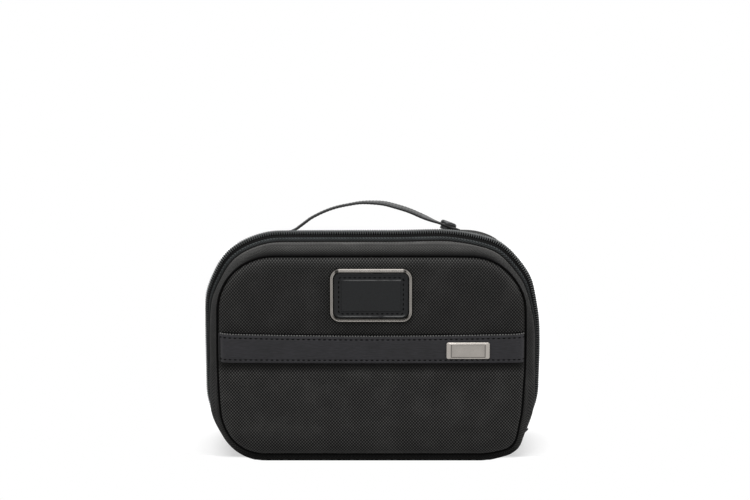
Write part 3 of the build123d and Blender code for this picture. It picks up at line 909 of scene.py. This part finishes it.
# The fabric gusset of one half: a rolled edge beside the zip, a stitched groove and a soft belly.
# A value named Out is about how far up the bag's outside faces there, from -1 to 1.
gusset = {
    "outer": (
        (12.1, -0.95), (11.6, -0.75), (11.45, -0.35), (11.7, 0.05), (12.3, 0.28), (13.0, 0.26),
        (13.6, 0.14), (14.2, 0.18), (15.2, 0.26), (18, 0.3), (22, 0.3), (27, 0.25), (32, 0.2),
        (36.5, 0.1), (40, 0), (42.5, 0), (44.3, -0.05), (45.6, -0.5), (46.1, -1.0), (45.9, -1.3),
    ),
    "inner": ((45.1, -1.6), (43.5, -2), (36, -2), (28, -2), (19, -2), (17.2, -1.6), (16.8, -1)),
    "middle": 28, "rippleSize": 24, "ripple": 0.35,
    "belly": 0.9, "bellyDepths": (13.5, 31), "bellyOut": (-0.9, -0.3), "backOut": (0.55, 0.9),
    "rightBelly": 1.0, "rightX": (60, 115), "rightZ": (42, 26),
    "topBelly": 1.9, "topDepths": (12.3, 33.7), "topOut": (0.6, 1),
    "corner": {-1: 2.2, 1: 2.0}, "cornerX": (62, 104), "cornerZ": (42, 84),
    "cornerDepths": (16, 36), "cornerEnd": (44.8, 46.4), "cornerDrop": 0.75,
    "under": 4.2, "underOut": (0.3, 0.9), "underDepths": (40, 43.5), "underEnd": (45, 46.4),
    "underDrop": 0.6,
    "hump": 4.7, "humpX": (22, 60), "humpZ": (122, 146), "humpEnd": (96, 114), "humpDrop": 0.5,
    "humpDepths": (24, 35), "humpFade": (45.5, 40),
    "floorOut": -0.2, "floorGap": 0.03,
}


def gussetProfile(side):
    v = gusset

    def profile(feature, part):
        x, z, outX, outZ = ringPoint(sizeAt(v["middle"]), feature, part)
        free = smoothStep(*v["bellyOut"], outZ)
        top, hump = v["topBelly"] * smoothStep(*v["topOut"], outZ), 0
        if side > 0:
            free *= 1 - smoothStep(*v["backOut"], outZ)
            top, hump = 0, v["hump"] * smoothStep(*v["humpX"], x) * smoothStep(*v["humpZ"], z)
            hump *= 1 - v["humpDrop"] * smoothStep(*v["humpEnd"], x)
        low = v["rightBelly"] * hill(z, *v["rightZ"]) * smoothStep(*v["rightX"], x)
        corner = v["corner"][1 if x > 0 else -1]
        corner *= smoothStep(*v["cornerX"], abs(x)) * (1 - smoothStep(*v["cornerZ"], z))
        row = []
        for depth, lift in v["outer"]:
            wave = ripple(x, z, side * depth, v["rippleSize"], v["ripple"])
            lift += swell(depth, *v["bellyDepths"]) * free * (v["belly"] + low + wave)
            lift += top * swell(depth, *v["topDepths"])
            lift += hump * smoothStep(*v["humpDepths"], depth) * smoothStep(*v["humpFade"], depth)
            foot = smoothStep(*v["cornerDepths"], depth)
            foot *= 1 - v["cornerDrop"] * smoothStep(*v["cornerEnd"], depth)
            under = smoothStep(*v["underOut"], -outZ) * v["under"] * smoothStep(*v["underDepths"], depth)
            under *= 1 - v["underDrop"] * smoothStep(*v["underEnd"], depth)
            lift += max(corner * foot, under)
            if outZ < v["floorOut"]:
                floorLift = ringPoint(sizeAt(depth), feature, part)[1] / -outZ
                lift = min(lift, floorLift - v["floorGap"])
            row.append((depth, lift))
        return row + list(v["inner"])

    return profile


# The zip tape of one half, which dives under the gusset's rolled edge
tapeProfile = (
    (0.6, -0.3), (0.8, -0.02), (3, 0), (5, 0), (7.5, 0), (9.2, -0.3), (10.4, -1.2), (11.2, -1.5),
    (12.6, -1.3), (16, -1.1), (16, -1.8), (12.6, -1.95), (11.2, -2.1), (9.8, -1.8), (8.2, -0.95),
    (5, -0.8), (0.8, -0.8),
)
liningProfile = (
    (12.2, -2.1), (20, -2.06), (30, -2.06), (42.8, -2.06), (42.8, -2.66), (30, -2.66), (12.2, -2.66),
)
coilCord = (
    (0.02, 0.1), (0.02, 2.3), (0.8, 2.75), (1.6, 2.9), (2.2, 2.6), (2.7, 1.8), (3.1, 0.7), (4.6, 0.45),
    (6, 0.3), (6.4, 0.05),
)
# A black cord in the channel under the gusset's rolled edge: painted shade for the gap there
gapShadeCord = ((11.35, -0.3), (11.2, 0.2), (10.6, 0.3), (10.1, 0.05), (10, -0.6), (10.6, -1), (11.3, -0.9))
binding = (
    (40.7, -3.1), (42.4, -2.75), (42.9, -3.4), (42.9, -4.4), (42.4, -4.75), (41.2, -4.8), (40.7, -4.4),
    (40.62, -3.7),
)
coil = {
    "row": 1.6, "lift": 2.0, "shift": {-1: 0, 1: 0.95},
    "sizes": {
        "Pitch": 1.8, "Half Width": 1.5, "Height": 1.5, "Wire": 0.45, "Lean": 1000 * math.radians(114),
    },
}
edgeStitch = {"depth": 13.6, "lift": 0.08, "sizes": (3.2, 2.3, 0.45, 0.35)}
piping = {"depth": 46.0, "radius": 0.9, "faces": 12}
panel = {
    "inset": 0.9, "rise": 5.1, "reach": 2.7, "rim": 1.0, "flat": 51, "thick": 3.6, "fill": 0.9,
    "spacing": 3.4, "dips": ((0.7, 101, 5), (1.9, 77, 6.5)), "dipEnds": (116, 104),
    "backRipple": (90, 40, 0.36), "frontRipple": (0, 34, 0.18), "rippleZ": (90, 104),
}
lining = {"inset": 2.75, "spacing": 8, "outer": 3.7, "inner": 4.3}


# How far out the padded face stands: it rises quickly from the seam and is then almost flat
def crownDepth(x, z):
    v = panel
    inset = edgeInset(seamOutline, x, z)
    return v["flat"] - v["rise"] * math.exp(-max(0, inset - v["rim"]) / v["reach"])


def panelSize(inset):
    halfWidth, low, high, lowRadius, topRadius = seamOutline
    return halfWidth - inset, low + inset, high - inset, lowRadius - inset, topRadius - inset


# A sheet over one whole face of the bag, inside its seam
def makePanel(name, side, inset, spacing, outer, inner, material):
    size = panelSize(inset)
    xs, zs = gridLines(-size[0], size[0], spacing), gridLines(size[1], size[2], spacing)
    return makeSheet(name, side, size, xs, zs, outer, inner, material)


def backFace(x, z):
    return crownDepth(x, z) + ripple(x, z, *panel["backRipple"])


# The front's face dips just over the pocket's mouth and again under the band's lower edge
def frontFace(x, z):
    v = panel
    away = crownDepth(x, z)
    for amount, middle, reach in v["dips"]:
        away -= amount * hill(z, middle, reach) * smoothStep(*v["dipEnds"], abs(x))
    return away + ripple(x, z, *v["frontRipple"]) * smoothStep(*v["rippleZ"], z)


def behindCrown(distance):
    return lambda x, z: crownDepth(x, z) - distance


def addRing(half, label, places, profile, material, slotName, node="", **more):
    piece = sweepRing(half + label, sides[half], places, profile, material, **more)
    place(piece, half + "_half", slotName, *([half + node] if node else []))


def roundProfile(v):
    turns = [2 * math.pi * i / v["faces"] for i in range(v["faces"])]
    return [(v["depth"] + v["radius"] * math.cos(t), v["radius"] * math.sin(t)) for t in turns]


sides = {"back": 1, "front": -1}
ring, chain = wholeRing(), overTop(bag["tapeEnd"])
for half, side in sides.items():
    body, wound = half + "_half", overTop(bag["chainEnd"], coil["shift"][side])
    addRing(half, "Gusset", ring, gussetProfile(side), gussetCloth, "woven_fabric", "_gusset")
    addRing(half, "LiningGusset", ring, liningProfile, liningCloth, "lining_fabric", "_lining_gusset")
    addRing(half, "SeamBinding", ring, binding, bindingCloth, "binding_tape", "_seam_binding")
    addRing(half, "ZipTape", chain, tapeProfile, tapeCloth, "zip_tape", "_zip_tape", closed=False)

    lines = [ringLine(side, wound, coil["row"], coil["lift"])]
    piece = runOnLines(half + "CoilTurns", coilTree, lines, coilPlastic, coil["sizes"])
    place(piece, body, "zip_coil", half + "_zip_coil")
    addRing(half, "CoilCord", wound, coilCord, threadCord, "zip_coil", closed=False)
    # Painted shade: a black cord lies in the gap under the rolled edge
    addRing(half, "GapShadeCord", chain, gapShadeCord, threadCord, "zip_tape", closed=False)
    addRing(
        half, "Piping", ring, roundProfile(piping), pipingCloth, "piping_fabric", "_piping",
        sizeFor=lambda depth: seamOutline,
    )

    padded = makePanel(
        half + "Panel", side, panel["inset"], panel["spacing"],
        backFace if side > 0 else frontFace, behindCrown(panel["thick"]), wovenCloth,
    )
    place(padded, body, "woven_fabric", half + "_panel", half + "_foam")
    piece = makePanel(
        half + "LiningPanel", side, lining["inset"], lining["spacing"],
        behindCrown(lining["outer"]), behindCrown(lining["inner"]), liningCloth,
    )
    place(piece, body, "lining_fabric", half + "_lining_panel")
    lines = [ringLine(side, ring + ring[:1], edgeStitch["depth"], edgeStitch["lift"])]
    addStitches(half + "EdgeStitches", lines, edgeStitch["sizes"], body, "woven_fabric")
print("both halves made")

# One strip of cloth runs under the bag from tape to tape, across the fold
fold = (
    (-16, -1.1), (-13, -0.9), (-11.4, -0.5), (-8, 0), (-3, 0), (-1, 0), (0, 0), (1, 0), (3, 0), (8, 0),
    (11.4, -0.5), (13, -0.9), (16, -1.1), (16, -1.9), (12, -1.7), (8, -1.2), (3, -1.2), (1, -1.2),
    (0, -1.2), (-1, -1.2), (-3, -1.2), (-8, -1.2), (-12, -1.7), (-16, -1.9),
)
piece = sweepRing("bottomFold", 1, underneath(bag["stripEnd"]), fold, wovenCloth, closed=False)
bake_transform(piece)
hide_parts("back_bottom_strip", "front_bottom_strip")

# The slip pocket on the front: a cloth face, a leather band along its mouth, and the folded lip
pocket = {
    "top": 99.4, "topSteps": (0, 0.4, 1), "spacing": (3, 2.6), "out": 1.15, "gap": 0.1, "flatZ": (84, 78),
    "belly": 0.9, "bellyZ": (44, 30), "bellyEnds": (116, 96),
    "dip": 1.9, "dipZ": (76.8, 3.4), "dipEnds": (116.5, 108), "ripple": (40, 30, 0.27),
}
band = {
    "left": -117.3, "right": 116.6, "endSteps": (0, 0.8, 2, 4, 7), "spacing": (3, 2.4),
    "low": 79.7, "high": 101.9, "sag": 1.7, "sagHalf": 117, "lowSag": 0.2,
    "out": 2.4, "thick": 1.2, "roundOff": 0.7, "groove": 0.25, "soft": 0.5,
    "edges": (0, 0.25, 0.6, 1.2, 1.8, 2.2, 2.5, 2.8, 3.2, 4),
    "row": 2.5, "rowOut": 2.26, "rowHalf": 115.5, "rowSteps": 117, "stitch": (4.0, 2.5, 1.0, 0.5),
}
lip = {
    "halfWidth": 116.2, "endSteps": (0, 1, 3), "spacing": 3,
    "shape": ((0.2, -3), (0.2, 1.0), (0.45, 1.35), (0.9, 1.4), (1.3, 1.1), (1.5, 0.5), (1.55, -3)),
    "row": 0.3, "rowOut": 1.95, "stitch": (2.1, 1.6, 1.0, 1.0),
}


def pocketFace(x, z):
    v = pocket
    ends = smoothStep(*v["bellyEnds"], abs(x))
    belly = v["belly"] * hill(z, *v["bellyZ"]) * ends
    dip = v["dip"] * hill(z, *v["dipZ"]) * smoothStep(*v["dipEnds"], abs(x))
    wave = ripple(x, z, *v["ripple"]) * ends
    return crownDepth(x, z) + v["out"] + (belly - dip + wave) * smoothStep(*v["flatZ"], z)


def makePocket(v):
    size = panelSize(panel["inset"])
    xs = gridLines(-size[0], size[0], v["spacing"][0])
    zs = gridLines(size[1], v["top"], v["spacing"][1], highSteps=v["topSteps"])
    return makeSheet(
        "frontPocket", -1, size, xs, zs, pocketFace, lambda x, z: frontFace(x, z) + v["gap"], pocketCloth,
    )


# The band's lower and upper edge, which both sag towards the middle
def bandEdges(x):
    sag = band["sag"] * (1 - (x / band["sagHalf"]) ** 2)
    return band["low"] - sag * band["lowSag"], band["high"] - sag


def onFront(x, z, out):
    return x, -(crownDepth(x, z) + out), z


def makeBand(v):
    points = []
    xs = gridLines(v["left"], v["right"], v["spacing"][0], v["endSteps"], v["endSteps"])
    for x in xs:
        low, high = bandEdges(x)
        for z in gridLines(low, high, v["spacing"][1], v["edges"], v["edges"]):
            edge = min(z - low, high - z)
            away = v["roundOff"] * math.exp(-edge / v["soft"])
            groove = v["groove"] * hill(edge, v["row"], v["soft"])
            points.append((x, -(crownDepth(x, z) + v["out"] - away - groove), z))
        for z in gridLines(high, low, -v["spacing"][1], (0,), (0,)):
            points.append((x, -(crownDepth(x, z) + v["out"] - v["thick"]), z))
    return makeMesh("frontBand", points, tubeFaces(points, len(xs)), bandLeather)


# The lip is the pocket's own cloth folded over its mouth, a little higher than the band. Its near-black
# cloth is painted shade for the gap in the mouth.
def makeLip(v):
    points = []
    xs = gridLines(-v["halfWidth"], v["halfWidth"], v["spacing"], v["endSteps"], v["endSteps"])
    for x in xs:
        z = bandEdges(x)[1]
        points += [(x, -(crownDepth(x, z) + out), z + up) for out, up in v["shape"]]
    return makeMesh("pocketLip", points, tubeFaces(points, len(xs)), pipingCloth)


# A line along the band's lower edge (0) or upper edge (1)
def bandLine(edge, shift, out):
    line, half, steps = [], band["rowHalf"], band["rowSteps"]
    for i in range(steps + 1):
        x = -half + 2 * half * i / steps
        line.append((onFront(x, bandEdges(x)[edge] + shift, out), (0, -1, 0)))
    return line


place(makePocket(pocket), "front_half", "woven_fabric", "front_pocket_panel")
place(makeBand(band), "front_half", "band_leather", "front_band")
place(makeLip(lip), "front_half", "woven_fabric")
lines = [bandLine(1, -band["row"], band["rowOut"]), bandLine(0, band["row"], band["rowOut"])]
addStitches("bandStitches", lines, band["stitch"], "front_half", "band_leather")
# Light beads along the lip's top: a painted highlight on the threads of the folded edge
lines = [bandLine(1, lip["row"], lip["rowOut"])]
addStitches("lipThreads", lines, lip["stitch"], "front_half", "woven_fabric", lipHighlightThread)
print("front pocket and band made")


def roundedRect(halfWidth, halfHeight, radius, steps=8):
    points = []
    for wayX, wayZ, start in ((1, 1, 0), (-1, 1, 90), (-1, -1, 180), (1, -1, 270)):
        for i in range(steps + 1):
            turn = math.radians(start + 90 * i / steps)
            points.append((
                wayX * (halfWidth - radius) + radius * math.cos(turn),
                wayZ * (halfHeight - radius) + radius * math.sin(turn),
            ))
    return points


# A ring or plate with rounded corners, skinned from (inset, height) pairs on the front face
def makePlate(name, v, material, hole):
    plan = v["plan"]
    points, faces, uvs = [], [], []
    for inset, height in plan:
        radius = max(plate["sharpest"], v["radius"] - inset)
        sideInset = inset + v["wideSides"] * smoothStep(*plate["sideSlope"], inset)
        for x, z in roundedRect(v["width"] / 2 - sideInset, v["height"] / 2 - inset, radius):
            points.append((v["x"] + x, -(v["face"] + height), v["z"] + z))
    count = len(points) // len(plan)
    for j in range(len(plan) if hole else len(plan) - 1):
        k = (j + 1) % len(plan)
        for i in range(count):
            n = (i + 1) % count
            faces.append((j * count + i, j * count + n, k * count + n, k * count + i))
            uvs += [(at, plan[row][0]) for at, row in ((i, j), (i + 1, j), (i + 1, k), (i, k))]
    if not hole:
        for row in (0, len(plan) - 1):
            faces.append([row * count + i for i in range(count)])
            uvs += [(i, plan[row][0]) for i in range(count)]
    return makeMesh(name, points, faces, material, uvs, plate["sharpAngle"])


plate = {"sharpest": 0.15, "sideSlope": (0.3, 1.4), "sharpAngle": 28}
idFrame = {
    "width": 63.4, "height": 41.6, "x": -0.8, "z": 132.1, "radius": 8, "face": 51.05, "wideSides": 0,
    "plan": (
        (0, 0), (0, 1.6), (0.3, 2.3), (0.8, 2.85), (1.35, 3.0), (1.5, 2.85), (1.65, 3.0), (2.5, 2.9),
        (3.0, 2.4), (3.3, 1.6), (3.3, 0),
    ),
}
patch = {
    "width": 57.1, "height": 35.3, "x": -0.8, "z": 131.75, "radius": 4.9, "face": 51.05, "wideSides": 0.3,
    "plan": (
        (0, 0), (0, 1.0), (0.3, 1.3), (0.8, 1.42), (1.45, 1.44), (2.1, 0.9), (2.4, 0.82), (3.7, 0.8),
        (5.0, 0.82), (5.3, 0.9), (5.95, 1.44), (7.5, 1.46), (12, 1.46),
    ),
    "row": 3.7, "rowOut": 0.95, "rowRadius": 1.6, "stitch": (3.7, 2.3, 0.85, 0.5),
}
namePlate = {
    "width": 33.2, "height": 12.9, "x": 73.1, "z": 89.5, "radius": 1.5, "face": 53.45, "wideSides": 2.2,
    "plan": (
        (0, 0), (0, 0.9), (0.3, 1.25), (1.3, 1.8), (1.42, 1.6), (1.6, 1.6), (1.72, 1.72), (3.5, 1.72),
        (5.6, 1.72),
    ),
}


def patchLine(v):
    halfWidth = v["width"] / 2 - v["row"] - v["wideSides"]
    corners = roundedRect(halfWidth, v["height"] / 2 - v["row"], v["rowRadius"])
    line = [((v["x"] + x, -(v["face"] + v["rowOut"]), v["z"] + z), (0, -1, 0)) for x, z in corners]
    return line + line[:1]


place(makePlate("idFrame", idFrame, frameMetal, True), "front_half", "brushed_metal", "id_frame")
place(makePlate("idPatch", patch, smoothLeather, False), "front_half", "leather", "id_patch")
addStitches("patchStitches", [patchLine(patch)], patch["stitch"], "front_half", "leather")
place(makePlate("namePlate", namePlate, plateMetal, False), "front_half", "brushed_metal", "name_plate")
print("frame, patch and plate made")

# The handle, in the plane that stands square on the slope of the back half's top. A stitched pair
# is the first and last point of the run that has stitches.
handlePlane = {"depth": 18.5, "base": 164.928, "slope": math.atan2(3.55, 28.5)}
strap = {
    "halfWidth": 6, "halfThick": 1, "corner": 0.65, "narrowest": 1.2,
    "line": (
        (-64.5, 3.88), (-60.5, 5.6), (-56.3, 8.6), (-51.5, 12.2), (-46.8, 15.4), (-37.3, 20.0),
        (-28, 23.2), (-18.6, 25.2), (-9.2, 26.7), (0.3, 26.8), (9.7, 26.0), (19.2, 23.6), (28.7, 20.6),
        (38.1, 16.6), (47.6, 12.6), (53.6, 10.4), (59.6, 8.2), (69.0, 4.78),
    ),
    "lean": -1.5, "twist": 11, "twistX": (-20, 20), "untwistX": (54, 40),
    "row": 4.7, "stitched": (4, -28), "stitch": (2.6, 1.9, 0.5, 0.35),
}
root = {
    "line": ((-80, 0.95), (-75, 1.1), (-71.6, 1.25), (-69.5, 1.9), (-67.3, 2.75), (-64.8, 3.77)),
    "row": 4.4, "stitched": (6, -2), "stitch": (2.4, 1.8, 0.5, 0.35),
}
tab = {
    "line": ((53.8, 5.31), (58, 3.78), (61.6, 2.47), (64.2, 1.6), (66.8, 1.15), (71, 1.1), (84, 0.9)),
    "row": 4.4, "stitched": (34, -6),
}


def planePoint(a, b):
    v = handlePlane
    return Vector((a, v["depth"] + b * math.sin(v["slope"]), v["base"] + b * math.cos(v["slope"])))


def smoothLine(points, steps=7):
    ends = [points[0], *points, points[-1]]
    line = []
    for a, b, c, d in zip(ends, ends[1:], ends[2:], ends[3:]):
        for i in range(steps):
            t = i / steps
            line.append(tuple(
                0.5 * (
                    2 * q + (r - p) * t + (2 * p - 5 * q + 4 * r - s) * t * t
                    + (3 * q - p - 3 * r + s) * t**3
                )
                for p, q, r, s in zip(a, b, c, d)
            ))
    return line + [points[-1]]


def strapTwist(v, a):
    return v["lean"] + v["twist"] * smoothStep(*v["twistX"], a) * smoothStep(*v["untwistX"], a)


# The middle, the way across and the way up of a strap at each point of its line
def strapFrames(v):
    line, slope = smoothLine(v["line"]), handlePlane["slope"]
    wide = Vector((0, -math.cos(slope), math.sin(slope)))
    frames = []
    for i, (a, b) in enumerate(line):
        before, after = line[max(0, i - 1)], line[min(len(line) - 1, i + 1)]
        along = (planePoint(*after) - planePoint(*before)).normalized()
        up = along.cross(wide).normalized()
        if up.z < 0:
            up = -up
        turn = math.radians(strapTwist(v, a) if "twist" in v else 0)
        across = wide * math.cos(turn) - up * math.sin(turn)
        frames.append((planePoint(a, b), across, up * math.cos(turn) + wide * math.sin(turn)))
    return frames


def addStrap(name, line, ends, body, node):
    v, run = strap, strapFrames(line)
    points, along = [], distances([middle for middle, wide, up in run])
    for (middle, wide, up), at in zip(run, along):
        half = v["halfWidth"]
        for near, rounded in zip((at, along[-1] - at), ends):
            if rounded and near < half:
                half = min(half, max(v["narrowest"], math.sqrt(max(0, half**2 - (half - near) ** 2))))
        for across, above in roundedRect(half, v["halfThick"], v["corner"], 3):
            points.append(middle + wide * across + up * above)
    piece = makeMesh(name, points, tubeFaces(points, len(run)), strapLeather)
    place(piece, body, "leather", node)
    return run


def strapRows(run, v, faces=(1,), out=1.02):
    start, end = v["stitched"]
    return [
        [(m + w * sign * v["row"] + u * face * out, u * face) for m, w, u in run[start:end]]
        for sign in (-1, 1) for face in faces
    ]


strapRun = addStrap("handleStrap", strap, (False, True), "handle", "handle_strap")
rootRun = addStrap("handleRoot", root, (True, False), "back_half", "handle_root")
tabRun = addStrap("snapTab", tab, (True, True), "back_half", "snap_tab")
addStitches("strapStitches", strapRows(strapRun, strap, (-1, 1)), strap["stitch"], "handle", "leather")
lines = strapRows(rootRun, root) + strapRows(tabRun, tab)
addStitches("tabStitches", lines, root["stitch"], "back_half", "leather")
print("handle made")

# Inside: a net pocket in the front half and a cloth pocket in the back half
net = {
    "depth": 16.4, "low": 2.9, "high": 96,
    "sizes": {"Width": 239.4, "Tall": 93.1, "Cell": 3.2, "Radius": 43, "Thread": 0.22},
}
slip = {
    "outline": (112.6, 8.4, 156, 30.2, 37), "top": 78.6, "spacing": (7, 6),
    "outer": 42.15, "inner": 41.45,
}
hem = {"thick": 1.5, "spacing": 6, "endSteps": (0, 1), "points": 16, "square": 0.45}
netHem = {**hem, "side": -1, "depth": 16.8, "halfWidth": 119.6, "low": 95.2, "high": 104.8}
slipHem = {**hem, "side": 1, "depth": 42.2, "halfWidth": 112.6, "low": 78.2, "high": 87.8}


# Cells of thread, without those outside the pocket's two rounded lower corners
def makeNetTree():
    tree, given, result = newTree("netMesh", ("Width", "Tall", "Cell", "Radius", "Thread"))
    wide, tall, radius = given["Width"], given["Tall"], given["Radius"]
    counts = [calc(tree, "DIVIDE", length, given["Cell"]) for length in (wide, tall)]
    grid = addNode(
        tree, "GeometryNodeMeshGrid", Size_X=wide, Size_Y=tall, Vertices_X=counts[0], Vertices_Y=counts[1],
    )
    cells = addNode(tree, "GeometryNodeDualMesh", Mesh=addNode(tree, "GeometryNodeTriangulate", Mesh=grid))
    at = split(tree, addNode(tree, "GeometryNodeInputPosition"))
    squares = []
    for length, way in ((wide, calc(tree, "ABSOLUTE", at[0])), (tall, calc(tree, "MULTIPLY", at[1], -1))):
        corner = calc(tree, "SUBTRACT", calc(tree, "MULTIPLY", length, 0.5), radius)
        over = calc(tree, "MAXIMUM", calc(tree, "SUBTRACT", way, corner), 0)
        squares.append(calc(tree, "POWER", over, 2))
    outside = calc(tree, "GREATER_THAN", calc(tree, "SQRT", calc(tree, "ADD", *squares)), radius)
    kept = addNode(tree, "GeometryNodeDeleteGeometry", Geometry=cells, Selection=outside)
    lines = addNode(tree, "GeometryNodeMeshToCurve", Mesh=kept)
    around = addNode(tree, "GeometryNodeCurvePrimitiveCircle", Resolution=4, Radius=given["Thread"])
    threads = addNode(tree, "GeometryNodeCurveToMesh", Curve=lines, Profile_Curve=around)
    return endTree(tree, given, result, threads)


def makeNet(v):
    guide = newObject("netGuide", bpy.data.meshes.new("netGuide"))
    piece = takeResult("netPocket", guide, makeNetTree(), netThread, v["sizes"])
    for vertex in piece.data.vertices:
        x, y, z = vertex.co
        vertex.co = (x, -v["depth"] / 1000 - z, y + (v["low"] + v["high"]) / 2000)
    return piece


# A flat ribbon with soft edges
def makeHem(name, v):
    points = []
    xs = gridLines(-v["halfWidth"], v["halfWidth"], v["spacing"], v["endSteps"], v["endSteps"])
    middle, half = (v["low"] + v["high"]) / 2, (v["high"] - v["low"]) / 2
    for x in xs:
        for j in range(v["points"]):
            turn = 2 * math.pi * j / v["points"]
            ways = (math.sin(turn), math.cos(turn))
            out, up = (math.copysign(abs(way) ** v["square"], way) for way in ways)
            points.append((x, v["side"] * (v["depth"] + out * v["thick"] / 2), middle + up * half))
    faces = tubeFaces(points, len(xs))
    uvs = [(points[c][2], points[c][0]) for face in faces for c in face]
    return makeMesh(name, points, faces, bindingCloth, uvs)


def makeSlip(v):
    halfWidth, low = v["outline"][:2]
    xs = gridLines(-halfWidth, halfWidth, v["spacing"][0])
    zs = gridLines(low, v["top"], v["spacing"][1], highSteps=(0, 1))
    return makeSheet(
        "slipPocket", 1, v["outline"], xs, zs, lambda x, z: v["outer"], lambda x, z: v["inner"], liningCloth,
    )


netPiece = place(makeNet(net), "front_half", "net_fabric", "net_pocket")
place(makeHem("netHem", netHem), "front_half", "binding_tape", "net_pocket_hem")
place(makeHem("slipHem", slipHem), "back_half", "binding_tape", "slip_pocket_hem")
piece = place(makeSlip(slip), "back_half", "lining_fabric", "slip_pocket")
print("inner pockets made")

# The metal parts keep their solids
darkNodes = (
    "snap_cap", "snap_socket", "snap_stud", "snap_eyelet", "zip_slider", "zip_pull",
    "back_zip_stops", "front_zip_stops",
)
for material, nodes in ((darkMetal, darkNodes), (brushedMetal, ("frame_backplate",))):
    for node in nodes:
        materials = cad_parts[node].data.materials
        materials.clear()
        materials.append(material)
